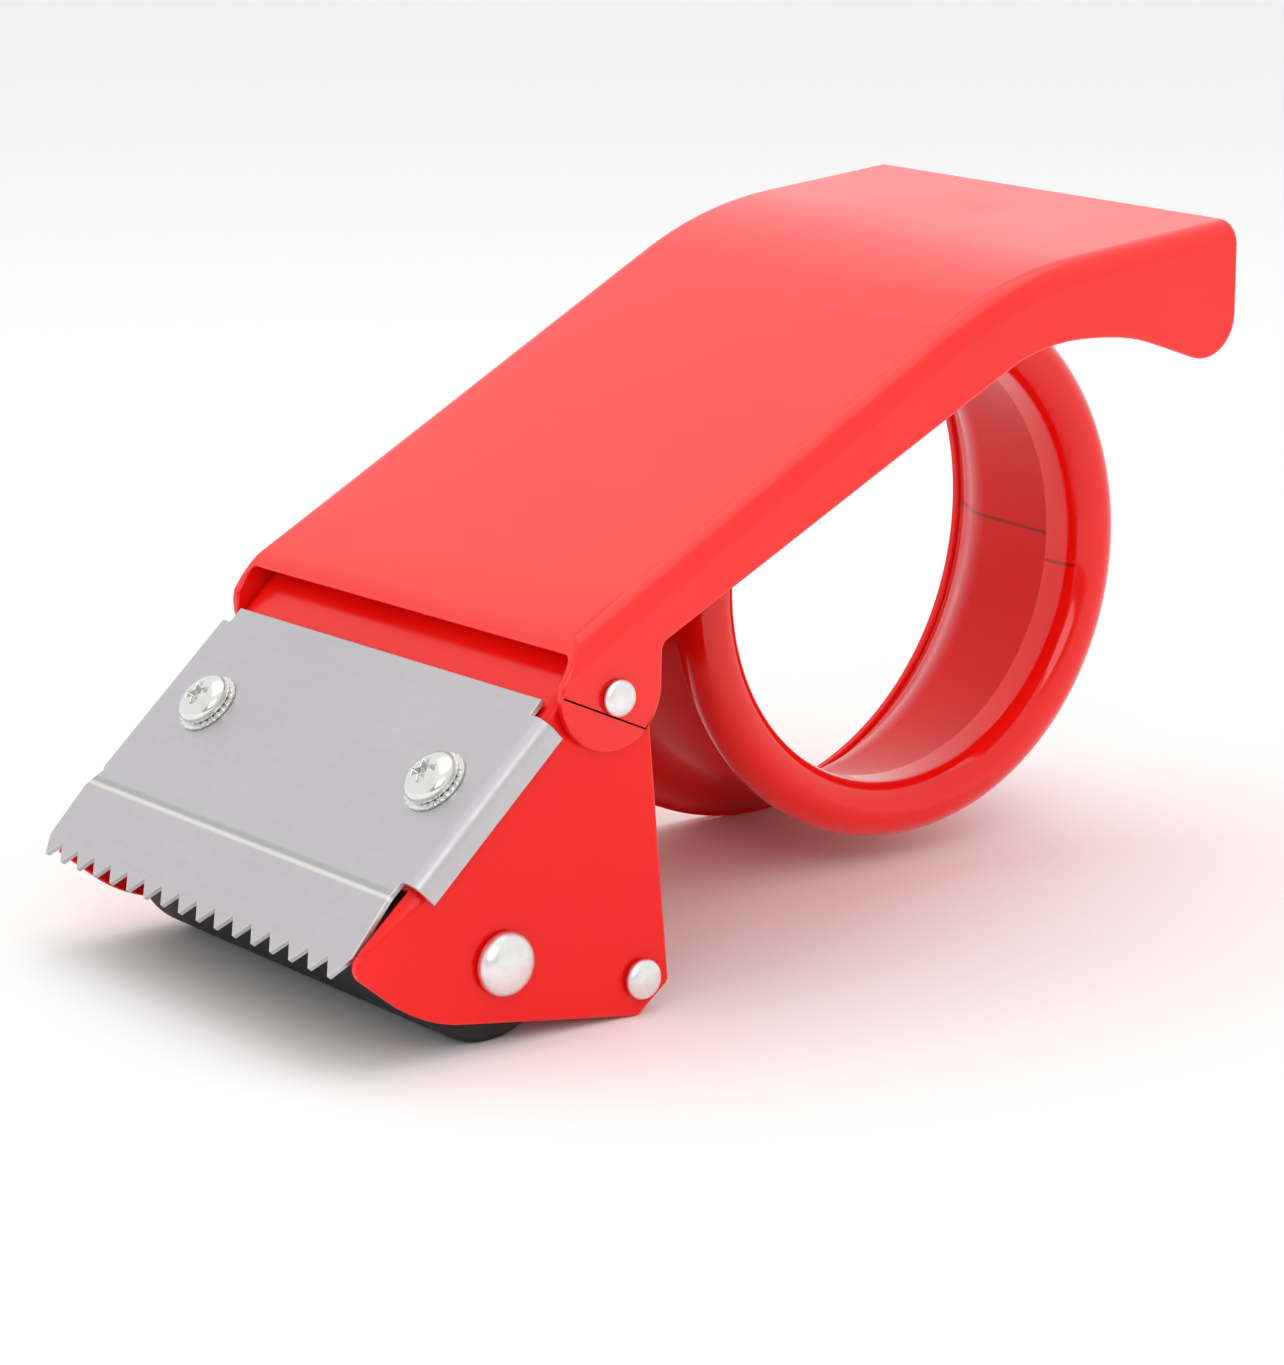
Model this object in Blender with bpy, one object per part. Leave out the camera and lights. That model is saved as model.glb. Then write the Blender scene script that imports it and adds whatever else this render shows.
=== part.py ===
"""Hand-held packing-tape dispenser pressed from steel sheet.

Axes: +X points to the rear, +Y to the side that carries the roll hub, +Z up.
The dispenser stands on its rubber roller and on the rim of its hub ring (z = 0).
The lengths below count x from a point 10.3 mm ahead of the origin.
"""
import math

import bmesh
import bpy
from mathutils import Matrix, Vector

MM = 0.001
GAP = 0.3                      # clearance kept between neighbouring pieces
CENTRE_SHIFT = 10.3            # puts the origin midway between the teeth and the ring

# ---- driving dimensions, millimetres -----------------------------------------------
SHEET = 1.0                    # thickness of the enamelled pressings
FRAME_HALF_WIDTH = 27.1        # outside of the frame's side plates
HANDLE_HALF_WIDTH = 28.4       # outside of the handle's flanges
BLADE_SHEET = 0.6              # thickness of the stainless cutter plate

# Pivot between frame and handle, roller axle and rear guide pin, as (x, z).
PIVOT = (-41.8, 31.4)
ROLLER_AXIS = (-53.9, 8.1)
GUIDE_AXIS = (-38.1, 3.7)

# Inclined front of the frame: the cutter plate's outer face starts at FRONT_TOP.
FRONT_TOP = (-48.4, 31.7)
FRONT_ANGLE = math.radians(42.9)
WEB_DEPTH = BLADE_SHEET + GAP  # the web's outer face lies this far behind that face
WEB_END = 21.4                 # the web's lower edge, measured down the slope
FRAME_BEND = 1.6               # outer bend radius between web and side plates
FRAME_CROWN = 4.6              # radius of the side plates' top round the pivot

# Frame side plate, lower outline: (x, z, corner radius).
NOSE_LOW = (-62.5, 3.6, 16.0)
HEEL = (-38.3, 0.0, 1.0)
HEEL_TOP = (-34.7, 2.8, 0.8)
FRAME_REAR_TOP_X = -37.3

# Ring at the end of the frame's long side plate, and the arm that leads to it.
HUB_AXIS = (17.5, 32.8)
RING_RADIUS = 32.8
RING_HOLE = 31.6
RING_FLAT = 32.5               # the handle rests on this flat of the ring
ARM_TOP = 27.5
ARM_BOTTOM = 8.0
ARM_TOP_FILLET = 8.0
ARM_BOTTOM_FILLET = 6.0

# Hub tube (conical, flared where it meets the ring) and its curled front rim.
TUBE_NEAR_Y = 2.4
TUBE_NEAR_RADIUS = 24.7
TUBE_NECK_Y = 18.6
TUBE_NECK_RADIUS = 27.3
TUBE_FLARE_END = (24.3, 31.0)
TUBE_LIP_RADIUS = 31.9
TUBE_SHEET = 0.9
RIM_BEAD_RADIUS = 26.75        # centre line of the curled bead
RIM_BEAD_SIZE = 3.0            # outer radius of the bead's section
RIM_SHEET = 0.8
RIM_COLLAR_END = 3.0
RIM_CURL = math.radians(275)

# Handle: straight slope, then a bend towards the rear.
HANDLE_FRONT = (-45.1, 37.3)
HANDLE_SLOPE = math.radians(29.1)
HANDLE_BEND_X = 4.0            # start of the bend on the hub's side
HANDLE_NEAR_BEND_X = -0.5      # and on the open side, which ends up lower at the rear
HANDLE_BEND_RADIUS = 45.0
HANDLE_REAR_SLOPE = math.radians(6.5)
HANDLE_REAR_X = 37.4
HANDLE_FOLD = 2.4              # outer radius of the folds along both sides
EAR_CENTRE = (-42.2, 32.0)
EAR_RADIUS = 5.7
EAR_REAR_TOP = (-36.4, 35.7, 1.2)
FLANGE_ARCH = (16.5, 63.4, 24.0)
FLANGE_LOBE = (37.4, 56.5, 4.4)

# Cutter plate, measured down the slope from FRONT_TOP.
TAB_HALF_WIDTH = 25.9
TAB_LENGTH = 1.8
FOLD_HALF_WIDTH = 28.3
FOLD_RADIUS = 1.5
FOLD_END = 21.3
FOLD_DEPTH = 2.9
CREASE = 23.2
CREASE_ANGLE = math.radians(7.7)
BLADE_SIDE = 6.2
TOOTH_TIP = 8.7
TOOTH_ROOT = 6.85
TOOTH_COUNT = 16
TOOTH_PITCH = 3.22
HORN_TOP = (0.6, 28.0)         # far end of the blade, as (s past the crease, y):
HORN_SIDE = (6.4, 28.6)        # it overhangs the side plate and ends in a point
HORN_TIP = (8.5, 27.4)
SCREW_S = 11.2
SCREW_Y = (-20.7, 18.9)        # both screws sit slightly towards the open side

# Fasteners and pins.
PIVOT_PIN_RADIUS, PIVOT_HEAD_RADIUS, PIVOT_HEAD_HEIGHT = 1.1, 1.75, 1.0
AXLE_RADIUS, AXLE_HEAD_RADIUS, AXLE_HEAD_HEIGHT = 2.0, 3.05, 1.9
GUIDE_PIN_RADIUS, GUIDE_HEAD_RADIUS, GUIDE_HEAD_HEIGHT = 1.2, 1.95, 1.2
SCREW_RADIUS, SCREW_HEAD_RADIUS, SCREW_HEAD_HEIGHT = 1.6, 2.85, 1.9
SCREW_LENGTH = 7.2
WASHER_RADIUS, WASHER_THICKNESS = 3.3, 0.4
NUT_FLATS, NUT_THICKNESS = 6.0, 2.4

# Roller, its end bushes and the guide sleeve.
ROLLER_RADIUS = 8.1
ROLLER_HALF_LENGTH = 25.0
RUBBER_BORE = 5.7
CORE_RADIUS, CORE_BORE = 5.4, 3.8
BUSH_RADIUS, BUSH_LENGTH, BUSH_FLANGE_RADIUS = 3.5, 6.0, 4.9
SLEEVE_RADIUS, SLEEVE_HALF_LENGTH = 3.0, 25.6

# Torsion spring on the pivot pin.
WIRE_RADIUS = 0.4
COIL_RADIUS = 1.95
COIL_TURNS = 5
COIL_PITCH = 1.15
LEG_DOWN = 11.0
LEG_BACK = 15.0

ENAMEL = (0.86, 0.030, 0.022, 1.0)
ENAMEL_DARK = (0.62, 0.016, 0.013, 1.0)
STAINLESS = (0.55, 0.54, 0.55, 1.0)
ZINC = (0.68, 0.68, 0.66, 1.0)
RUBBER = (0.014, 0.014, 0.015, 1.0)
PLASTIC = (0.75, 0.74, 0.70, 1.0)
SPRING_STEEL = (0.32, 0.32, 0.33, 1.0)


# ---- scene and material helpers ----------------------------------------------------
def clear_scene():
    for old in list(bpy.data.objects):
        bpy.data.objects.remove(old, do_unlink=True)


def make_material(name, colour, roughness, metallic):
    material = bpy.data.materials.new(name)
    material.use_nodes = True
    shader = material.node_tree.nodes["Principled BSDF"]
    shader.inputs["Base Color"].default_value = colour
    shader.inputs["Roughness"].default_value = roughness
    shader.inputs["Metallic"].default_value = metallic
    return material


def link_mesh(bm, name, material=None, origin=(0.0, 0.0, 0.0)):
    """Store a millimetre bmesh as an object whose origin is at `origin` (mm)."""
    bmesh.ops.translate(bm, verts=bm.verts, vec=-Vector(origin))
    bmesh.ops.scale(bm, verts=bm.verts, vec=(MM, MM, MM))
    bmesh.ops.recalc_face_normals(bm, faces=bm.faces)
    mesh = bpy.data.meshes.new(name)
    bm.to_mesh(mesh)
    bm.free()
    mesh.shade_smooth()
    mesh.set_sharp_from_angle(angle=math.radians(32))
    if material:
        mesh.materials.append(material)
    part = bpy.data.objects.new(name, mesh)
    part.location = Vector(origin) * MM
    bpy.context.scene.collection.objects.link(part)
    return part


def combine(part, tool, operation):
    """Add an exact boolean with a tool that is itself hidden."""
    modifier = part.modifiers.new(tool.name, "BOOLEAN")
    modifier.operation = operation
    modifier.solver = "EXACT"
    modifier.object = tool
    tool.hide_render = True
    tool.display_type = "WIRE"


# ---- outlines ----------------------------------------------------------------------
def arc(centre, radius, start, end, steps):
    """Points on an arc in the XZ plane, both ends included."""
    points = []
    for i in range(steps + 1):
        angle = start + (end - start) * i / steps
        points.append((centre[0] + radius * math.cos(angle), centre[1] + radius * math.sin(angle)))
    return points


def rounded(corners):
    """A closed outline of (x, z[, radius]) corners, each rounded to its radius."""
    points = []
    count = len(corners)
    for i, corner in enumerate(corners):
        here = Vector(corner[:2])
        radius = corner[2] if len(corner) > 2 else 0.0
        if radius == 0.0:
            points.append(tuple(here))
            continue
        before = (Vector(corners[i - 1][:2]) - here).normalized()
        after = (Vector(corners[(i + 1) % count][:2]) - here).normalized()
        half = before.angle(after) / 2
        centre = here + (before + after).normalized() * radius / math.sin(half)
        first = here + before * radius / math.tan(half) - centre
        last = here + after * radius / math.tan(half) - centre
        turn = math.atan2(first.cross(last), first.dot(last))
        steps = max(2, round(abs(turn) / math.radians(15)))
        for k in range(steps + 1):
            spoke = Matrix.Rotation(turn * k / steps, 2) @ first
            points.append(tuple(centre + spoke))
    return points


def prism(outline, y_low, y_high):
    """A bmesh block: the XZ outline carried from y_low to y_high."""
    bm = bmesh.new()
    base = bm.faces.new([bm.verts.new((x, y_low, z)) for x, z in outline])
    swept = bmesh.ops.extrude_face_region(bm, geom=[base])
    moved = [item for item in swept["geom"] if isinstance(item, bmesh.types.BMVert)]
    bmesh.ops.translate(bm, verts=moved, vec=(0, y_high - y_low, 0))
    bmesh.ops.recalc_face_normals(bm, faces=bm.faces)
    return bm


def fold_edges(bm, chain, half_width, radius):
    """Round the edges at |y| = half_width whose ends both lie on the XZ chain."""
    def on_chain(vert):
        if abs(abs(vert.co.y) - half_width) > 1e-3:
            return False
        return any(math.hypot(vert.co.x - x, vert.co.z - z) < 1e-3 for x, z in chain)

    edges = []
    for edge in bm.edges:
        a, b = edge.verts
        if abs(a.co.y - b.co.y) < 1e-3 and on_chain(a) and on_chain(b):
            edges.append(edge)
    bmesh.ops.bevel(bm, geom=edges, offset=radius, segments=5, profile=0.5, affect="EDGES")


def rod_cutter(name, axis, radius, y_low, y_high, sides=24):
    """A hidden round tool along Y."""
    outline = arc(axis, radius, 0.0, 2 * math.pi * (1 - 1 / sides), sides - 1)
    return link_mesh(prism(outline, y_low, y_high), name)


def turned(name, profile, axis, material, sides):
    """Turn a closed (radius, y) profile about the Y line through `axis` (x, z)."""
    bm = bmesh.new()
    rings = []
    for radius, y in profile:
        if radius < 1e-6:
            rings.append([bm.verts.new((0, y, 0))] * sides)
            continue
        ring = []
        for i in range(sides):
            angle = 2 * math.pi * i / sides
            ring.append(bm.verts.new((radius * math.cos(angle), y, radius * math.sin(angle))))
        rings.append(ring)
    closed = all(radius > 1e-6 for radius, _ in profile)
    last = len(rings) if closed else len(rings) - 1
    for k in range(last):
        a, b = rings[k], rings[(k + 1) % len(rings)]
        for i in range(sides):
            j = (i + 1) % sides
            corners = dict.fromkeys([a[i], a[j], b[j], b[i]])
            bm.faces.new(list(corners))
    bmesh.ops.translate(bm, verts=bm.verts, vec=(axis[0], 0, axis[1]))
    return link_mesh(bm, name, material, (axis[0], 0, axis[1]))


# ---- places on the inclined front --------------------------------------------------
DOWN_SLOPE = (-math.cos(FRONT_ANGLE), -math.sin(FRONT_ANGLE))
OUT_OF_SLOPE = (-math.sin(FRONT_ANGLE), math.cos(FRONT_ANGLE))


def on_front(s, n):
    """(x, z) of the point s down the slope and n outside the cutter plate's face."""
    x = FRONT_TOP[0] + s * DOWN_SLOPE[0] + n * OUT_OF_SLOPE[0]
    z = FRONT_TOP[1] + s * DOWN_SLOPE[1] + n * OUT_OF_SLOPE[1]
    return x, z


def slope_of(point):
    """The s of an (x, z) point, measured down the slope."""
    return (point[0] - FRONT_TOP[0]) * DOWN_SLOPE[0] + (point[1] - FRONT_TOP[1]) * DOWN_SLOPE[1]


def depth_of(point):
    """The n of an (x, z) point, negative behind the cutter plate's face."""
    return (point[0] - FRONT_TOP[0]) * OUT_OF_SLOPE[0] + (point[1] - FRONT_TOP[1]) * OUT_OF_SLOPE[1]


# ---- frame -------------------------------------------------------------------------
def frame_outline():
    """Side view of the frame, with the two ends of its web."""
    web_distance = -WEB_DEPTH - depth_of(PIVOT)
    rise = math.sqrt(FRAME_CROWN ** 2 - web_distance ** 2)
    web_top = on_front(slope_of(PIVOT) - rise, -WEB_DEPTH)
    web_low = on_front(WEB_END, -WEB_DEPTH)

    nose_tip = on_front(30.85, -WEB_DEPTH)
    front = rounded([
        web_low,
        (nose_tip[0], nose_tip[1], 1.5),
        NOSE_LOW,
        HEEL,
        HEEL_TOP,
        (FRAME_REAR_TOP_X, PIVOT[1]),
        web_top,
    ])
    crown_start = math.acos((FRAME_REAR_TOP_X - PIVOT[0]) / FRAME_CROWN)
    crown_end = math.atan2(web_top[1] - PIVOT[1], web_top[0] - PIVOT[0])
    crown = arc(PIVOT, FRAME_CROWN, crown_start, crown_end, 6)
    return front[:-2] + crown, (web_low, crown[-1])


def arm_outline():
    """The long side plate's arm and ring, overlapping the frame's side plate."""
    cx, cz = HUB_AXIS
    reach = RING_RADIUS + ARM_TOP_FILLET
    top_z = ARM_TOP + ARM_TOP_FILLET
    top = (cx - math.sqrt(reach ** 2 - (top_z - cz) ** 2), top_z)
    reach = RING_RADIUS + ARM_BOTTOM_FILLET
    low_z = ARM_BOTTOM - ARM_BOTTOM_FILLET
    low = (cx - math.sqrt(reach ** 2 - (low_z - cz) ** 2), low_z)
    top_angle = math.atan2(top[1] - cz, top[0] - cx)
    low_angle = math.atan2(low[1] - cz, low[0] - cx) + 2 * math.pi

    rest_angle = math.pi / 2 + HANDLE_SLOPE
    half_flat = math.acos(RING_FLAT / RING_RADIUS)
    points = [(-40.0, ARM_BOTTOM), (-40.0, ARM_TOP)]
    points += arc(top, ARM_TOP_FILLET, -math.pi / 2, top_angle - math.pi, 5)
    points += arc(HUB_AXIS, RING_RADIUS, top_angle, rest_angle + half_flat, 6)[1:]
    points += arc(HUB_AXIS, RING_RADIUS, rest_angle - half_flat, low_angle - 2 * math.pi, 40)
    points += arc(low, ARM_BOTTOM_FILLET, low_angle - math.pi, math.pi / 2, 5)[1:]
    return points


def blade_clearance():
    """Side view of the space that the overhanging end of the blade needs."""
    depth = -BLADE_SHEET - GAP - 0.05
    angle = FRONT_ANGLE + CREASE_ANGLE
    x, z = on_front(CREASE, depth)
    end = (x - 12 * math.cos(angle), z - 12 * math.sin(angle))
    return [on_front(CREASE - 1.0, depth), (x, z), end, on_front(CREASE + 12, 8.0),
            on_front(CREASE - 1.0, 8.0)]


def make_frame(material):
    outline, (web_low, web_top) = frame_outline()
    body = prism(outline, -FRAME_HALF_WIDTH, FRAME_HALF_WIDTH)
    fold_edges(body, (web_low, web_top), FRAME_HALF_WIDTH, FRAME_BEND)
    frame = link_mesh(body, "head_frame", material)

    arm = link_mesh(prism(arm_outline(), FRAME_HALF_WIDTH - SHEET, FRAME_HALF_WIDTH), "arm_tool")
    combine(frame, arm, "UNION")

    web_back = -WEB_DEPTH - SHEET
    hollow_chain = (on_front(slope_of(web_top) - 9.0, web_back), on_front(WEB_END, web_back))
    hollow_outline = [
        *hollow_chain,
        on_front(WEB_END, 6.0),
        on_front(45.0, 6.0),
        (HEEL[0], -20.0),
        (-20.0, -20.0),
        (-20.0, 60.0),
    ]
    half = FRAME_HALF_WIDTH - SHEET
    hollow = prism(hollow_outline, -half, half)
    fold_edges(hollow, hollow_chain, half, FRAME_BEND - SHEET)
    combine(frame, link_mesh(hollow, "frame_hollow_tool"), "DIFFERENCE")

    wide = FRAME_HALF_WIDTH + 5
    holes = (
        ("pivot_hole_tool", PIVOT, PIVOT_PIN_RADIUS + GAP),
        ("axle_hole_tool", ROLLER_AXIS, AXLE_RADIUS + GAP),
        ("guide_hole_tool", GUIDE_AXIS, GUIDE_PIN_RADIUS + GAP),
    )
    for name, axis, radius in holes:
        combine(frame, rod_cutter(name, axis, radius, -wide, wide), "DIFFERENCE")
    ring = rod_cutter("ring_hole_tool", HUB_AXIS, RING_HOLE, half - 5, wide, 60)
    combine(frame, ring, "DIFFERENCE")
    over = prism(blade_clearance(), half - 0.5, wide)
    combine(frame, link_mesh(over, "blade_clearance_tool"), "DIFFERENCE")
    for label, y in zip(("near", "far"), SCREW_Y):
        tool = front_rod(label + "_screw_hole_tool", y, SCREW_RADIUS + GAP, -8, 8)
        combine(frame, tool, "DIFFERENCE")
    return frame


def front_frame(y, n):
    """Matrix of the point on the screw line, local Z pointing out of the slope."""
    x, z = on_front(SCREW_S, n)
    out = Vector((OUT_OF_SLOPE[0], 0, OUT_OF_SLOPE[1]))
    down = Vector((DOWN_SLOPE[0], 0, DOWN_SLOPE[1]))
    turn = Matrix((down, out.cross(down), out)).transposed().to_4x4()
    return Matrix.Translation(Vector((x, y, z)) * MM) @ turn


def front_rod(name, y, radius, n_low, n_high):
    """A hidden round tool through the front at a screw's place."""
    bm = bmesh.new()
    bmesh.ops.create_cone(
        bm, cap_ends=True, segments=24, radius1=radius, radius2=radius, depth=n_high - n_low
    )
    bmesh.ops.translate(bm, verts=bm.verts, vec=(0, 0, (n_high + n_low) / 2))
    rod = link_mesh(bm, name)
    rod.matrix_world = front_frame(y, 0.0)
    return rod


# ---- hub ---------------------------------------------------------------------------
def thick_line(path, thickness, outward):
    """Closed profile of a sheet whose inner face follows `path` of (radius, y)."""
    outer = []
    for i, point in enumerate(path):
        before = Vector(path[max(i - 1, 0)])
        after = Vector(path[min(i + 1, len(path) - 1)])
        run = (after - before).normalized()
        outer.append(Vector(point) + Vector((run.y, -run.x)) * thickness * outward)
    return [tuple(p) for p in path] + [tuple(p) for p in reversed(outer)]


def make_hub_tube(material):
    flare_start = math.atan2(TUBE_NECK_RADIUS - TUBE_NEAR_RADIUS, TUBE_NECK_Y - TUBE_NEAR_Y)
    end_y, end_radius = TUBE_FLARE_END
    flare = math.atan2(end_radius - TUBE_NECK_RADIUS, end_y - TUBE_NECK_Y)
    face_y = FRAME_HALF_WIDTH - SHEET - GAP
    neck = (TUBE_NECK_RADIUS, TUBE_NECK_Y)
    path = [(TUBE_NEAR_RADIUS, TUBE_NEAR_Y)]
    for k in (-1, 1):
        angle = flare_start if k < 0 else flare
        path.append((neck[0] + 2.4 * k * math.tan(angle), neck[1] + 2.4 * k))
    path.insert(2, (neck[0] + 0.22, neck[1]))
    path += [(end_radius, end_y), (end_radius + 0.9, face_y), (TUBE_LIP_RADIUS + 0.5, face_y)]
    profile = thick_line(path, TUBE_SHEET, 1)
    return turned("hub_tube", profile, HUB_AXIS, material, 56)


def make_hub_rim(material):
    """A short collar inside the tube, curled outward into a round bead."""
    collar = RIM_BEAD_RADIUS - RIM_BEAD_SIZE
    outer = [(collar, RIM_COLLAR_END)]
    inner = [(collar + RIM_SHEET, RIM_COLLAR_END)]
    steps = 11
    for k in range(steps + 1):
        angle = math.pi + RIM_CURL * k / steps
        for side, size in ((outer, RIM_BEAD_SIZE), (inner, RIM_BEAD_SIZE - RIM_SHEET)):
            side.append((RIM_BEAD_RADIUS + size * math.cos(angle), size * math.sin(angle)))
    return turned("hub_rim", outer + inner[::-1], HUB_AXIS, material, 48)


# ---- handle ------------------------------------------------------------------------
def handle_top(offset):
    """Top line from front to rear, `offset` below the outer face."""
    slope, rear = HANDLE_SLOPE, HANDLE_REAR_SLOPE
    x0, z0 = HANDLE_FRONT
    bend_z = z0 + (HANDLE_BEND_X - x0) * math.tan(slope)
    centre = (
        HANDLE_BEND_X + HANDLE_BEND_RADIUS * math.sin(slope),
        bend_z - HANDLE_BEND_RADIUS * math.cos(slope),
    )
    radius = HANDLE_BEND_RADIUS - offset
    front = (x0 + offset * math.sin(slope), z0 - offset * math.cos(slope))
    line = arc(centre, radius, math.pi / 2 + slope, math.pi / 2 + rear, 8)
    last = line[-1]
    end = (HANDLE_REAR_X, last[1] + (HANDLE_REAR_X - last[0]) * math.tan(rear))
    back = HANDLE_BEND_X - HANDLE_NEAR_BEND_X
    near_start = (line[0][0] - back, line[0][1] - back * math.tan(slope))
    return [front, near_start, *line, end]


def top_height(x, bend_x):
    """Height of the top's outer face at x when its bend starts at bend_x."""
    slope, rear, radius = HANDLE_SLOPE, HANDLE_REAR_SLOPE, HANDLE_BEND_RADIUS
    x0, z0 = HANDLE_FRONT
    if x <= bend_x:
        return z0 + (x - x0) * math.tan(slope)
    centre_x = bend_x + radius * math.sin(slope)
    centre_z = z0 + (bend_x - x0) * math.tan(slope) - radius * math.cos(slope)
    end_x = centre_x - radius * math.sin(rear)
    if x < end_x:
        return centre_z + math.sqrt(radius ** 2 - (x - centre_x) ** 2)
    return centre_z + radius * math.cos(rear) + (x - end_x) * math.tan(rear)


def lean_to_near_side(bm):
    """Lower the rear towards the open side, where the bend starts sooner."""
    for vert in bm.verts:
        x, y, _ = vert.co
        drop = top_height(x, HANDLE_BEND_X) - top_height(x, HANDLE_NEAR_BEND_X)
        vert.co.z -= drop * (HANDLE_HALF_WIDTH - y) / (2 * HANDLE_HALF_WIDTH)


def make_handle(material):
    top = handle_top(0.0)
    low = rounded([
        (HANDLE_REAR_X, 68.0),
        FLANGE_LOBE,
        FLANGE_ARCH,
        EAR_REAR_TOP,
        (EAR_CENTRE[0] + EAR_RADIUS, EAR_CENTRE[1]),
        (EAR_CENTRE[0] - EAR_RADIUS, EAR_CENTRE[1]),
    ])
    ear = arc(EAR_CENTRE, EAR_RADIUS, 0.0, -math.pi * 1.06, 14)
    outline = top + low[1:-2] + ear
    body = prism(outline, -HANDLE_HALF_WIDTH, HANDLE_HALF_WIDTH)
    fold_edges(body, top, HANDLE_HALF_WIDTH, HANDLE_FOLD)
    lean_to_near_side(body)
    handle = link_mesh(body, "handle", material, (PIVOT[0], 0, PIVOT[1]))

    under = handle_top(SHEET)
    slope, rear = HANDLE_SLOPE, HANDLE_REAR_SLOPE
    under[0] = (under[0][0] - 12 * math.cos(slope), under[0][1] - 12 * math.sin(slope))
    under[-1] = (under[-1][0] + 12 * math.cos(rear), under[-1][1] + 12 * math.sin(rear))
    half = HANDLE_HALF_WIDTH - SHEET
    hollow = prism([*under, (under[-1][0], 0.0), (under[0][0], 0.0)], -half, half)
    fold_edges(hollow, under, half, HANDLE_FOLD - SHEET)
    lean_to_near_side(hollow)
    combine(handle, link_mesh(hollow, "handle_hollow_tool"), "DIFFERENCE")

    wide = HANDLE_HALF_WIDTH + 5
    tool = rod_cutter("ear_hole_tool", PIVOT, PIVOT_PIN_RADIUS + GAP, -wide, wide)
    combine(handle, tool, "DIFFERENCE")
    return handle


# ---- cutter plate ------------------------------------------------------------------
def cutter_outline():
    """Flat outline as (s, y), from the near side's tab corner round to the far side's."""
    edge = FOLD_HALF_WIDTH - FOLD_RADIUS
    near = [
        (0.0, -TAB_HALF_WIDTH),
        (TAB_LENGTH, -TAB_HALF_WIDTH),
        (TAB_LENGTH, -edge),
        (FOLD_END, -edge),
        (FOLD_END, -TAB_HALF_WIDTH),
        (CREASE + BLADE_SIDE, -TAB_HALF_WIDTH),
    ]
    teeth = []
    first = -TOOTH_PITCH * (TOOTH_COUNT - 1) / 2
    for k in range(TOOTH_COUNT):
        tip = first + TOOTH_PITCH * k
        teeth.append((CREASE + TOOTH_TIP, tip))
        if k < TOOTH_COUNT - 1:
            teeth.append((CREASE + TOOTH_ROOT, tip + TOOTH_PITCH / 2))
    teeth.append((CREASE + TOOTH_ROOT, tip + TOOTH_PITCH / 2))
    horn = [(CREASE + s, y) for s, y in (HORN_TIP, HORN_SIDE, HORN_TOP)]
    far = [(s, -y) for s, y in reversed(near[:4])]
    return near + teeth + horn + far


def bend_into_place(vert):
    """Move a vertex from flat (s, y, n) to its place on the bent plate."""
    s, y, n = vert.co
    if s <= CREASE + 1e-4:
        x, z = on_front(s, n)
    else:
        angle = FRONT_ANGLE + CREASE_ANGLE
        x, z = on_front(CREASE, 0.0)
        run = s - CREASE
        x += -run * math.cos(angle) - n * math.sin(angle)
        z += -run * math.sin(angle) + n * math.cos(angle)
    vert.co = (x, y, z)


def make_cutter(material):
    bm = bmesh.new()
    face = bm.faces.new([bm.verts.new((s, y, 0.0)) for s, y in cutter_outline()])
    swept = bmesh.ops.extrude_face_region(bm, geom=[face])
    lower = [item for item in swept["geom"] if isinstance(item, bmesh.types.BMVert)]
    bmesh.ops.translate(bm, verts=lower, vec=(0, 0, -BLADE_SHEET))
    whole = list(bm.verts) + list(bm.edges) + list(bm.faces)
    bmesh.ops.bisect_plane(bm, geom=whole, plane_co=(CREASE, 0, 0), plane_no=(1, 0, 0))

    edge = FOLD_HALF_WIDTH - FOLD_RADIUS
    for side in (-1, 1):
        faces = []
        for item in bm.faces:
            centre = item.calc_center_median()
            if abs(centre.y - side * edge) < 1e-4:
                faces.append(item)
        centre = Vector((0, side * edge, -FOLD_RADIUS))
        steps = 5
        turn = Matrix.Rotation(-side * math.pi / 2 / steps, 3, "X")
        for _ in range(steps):
            faces = extrude_faces(bm, faces)
            verts = {vert for item in faces for vert in item.verts}
            bmesh.ops.rotate(bm, verts=list(verts), cent=centre, matrix=turn)
        faces = extrude_faces(bm, faces)
        verts = {vert for item in faces for vert in item.verts}
        bmesh.ops.translate(bm, verts=list(verts), vec=(0, 0, FOLD_RADIUS - FOLD_DEPTH))
    for vert in bm.verts:
        bend_into_place(vert)
    plate = link_mesh(bm, "cutter_plate", material)
    for label, y in zip(("near", "far"), SCREW_Y):
        tool = front_rod(label + "_plate_hole_tool", y, SCREW_RADIUS + GAP, -8, 8)
        combine(plate, tool, "DIFFERENCE")
    return plate


def extrude_faces(bm, faces):
    swept = bmesh.ops.extrude_face_region(bm, geom=faces)
    inner = [item for item in faces if item.is_valid]
    bmesh.ops.delete(bm, geom=inner, context="FACES_ONLY")
    return [item for item in swept["geom"] if isinstance(item, bmesh.types.BMFace)]


def turned_on_front(name, profile, y, n, material, sides):
    """Turn a (radius, height) profile about the front's normal at a screw's place."""
    part = turned(name, profile, (0.0, 0.0), material, sides)
    y_to_normal = Matrix.Rotation(math.pi / 2, 4, "X")
    part.matrix_world = front_frame(y, n) @ y_to_normal
    return part


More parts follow.
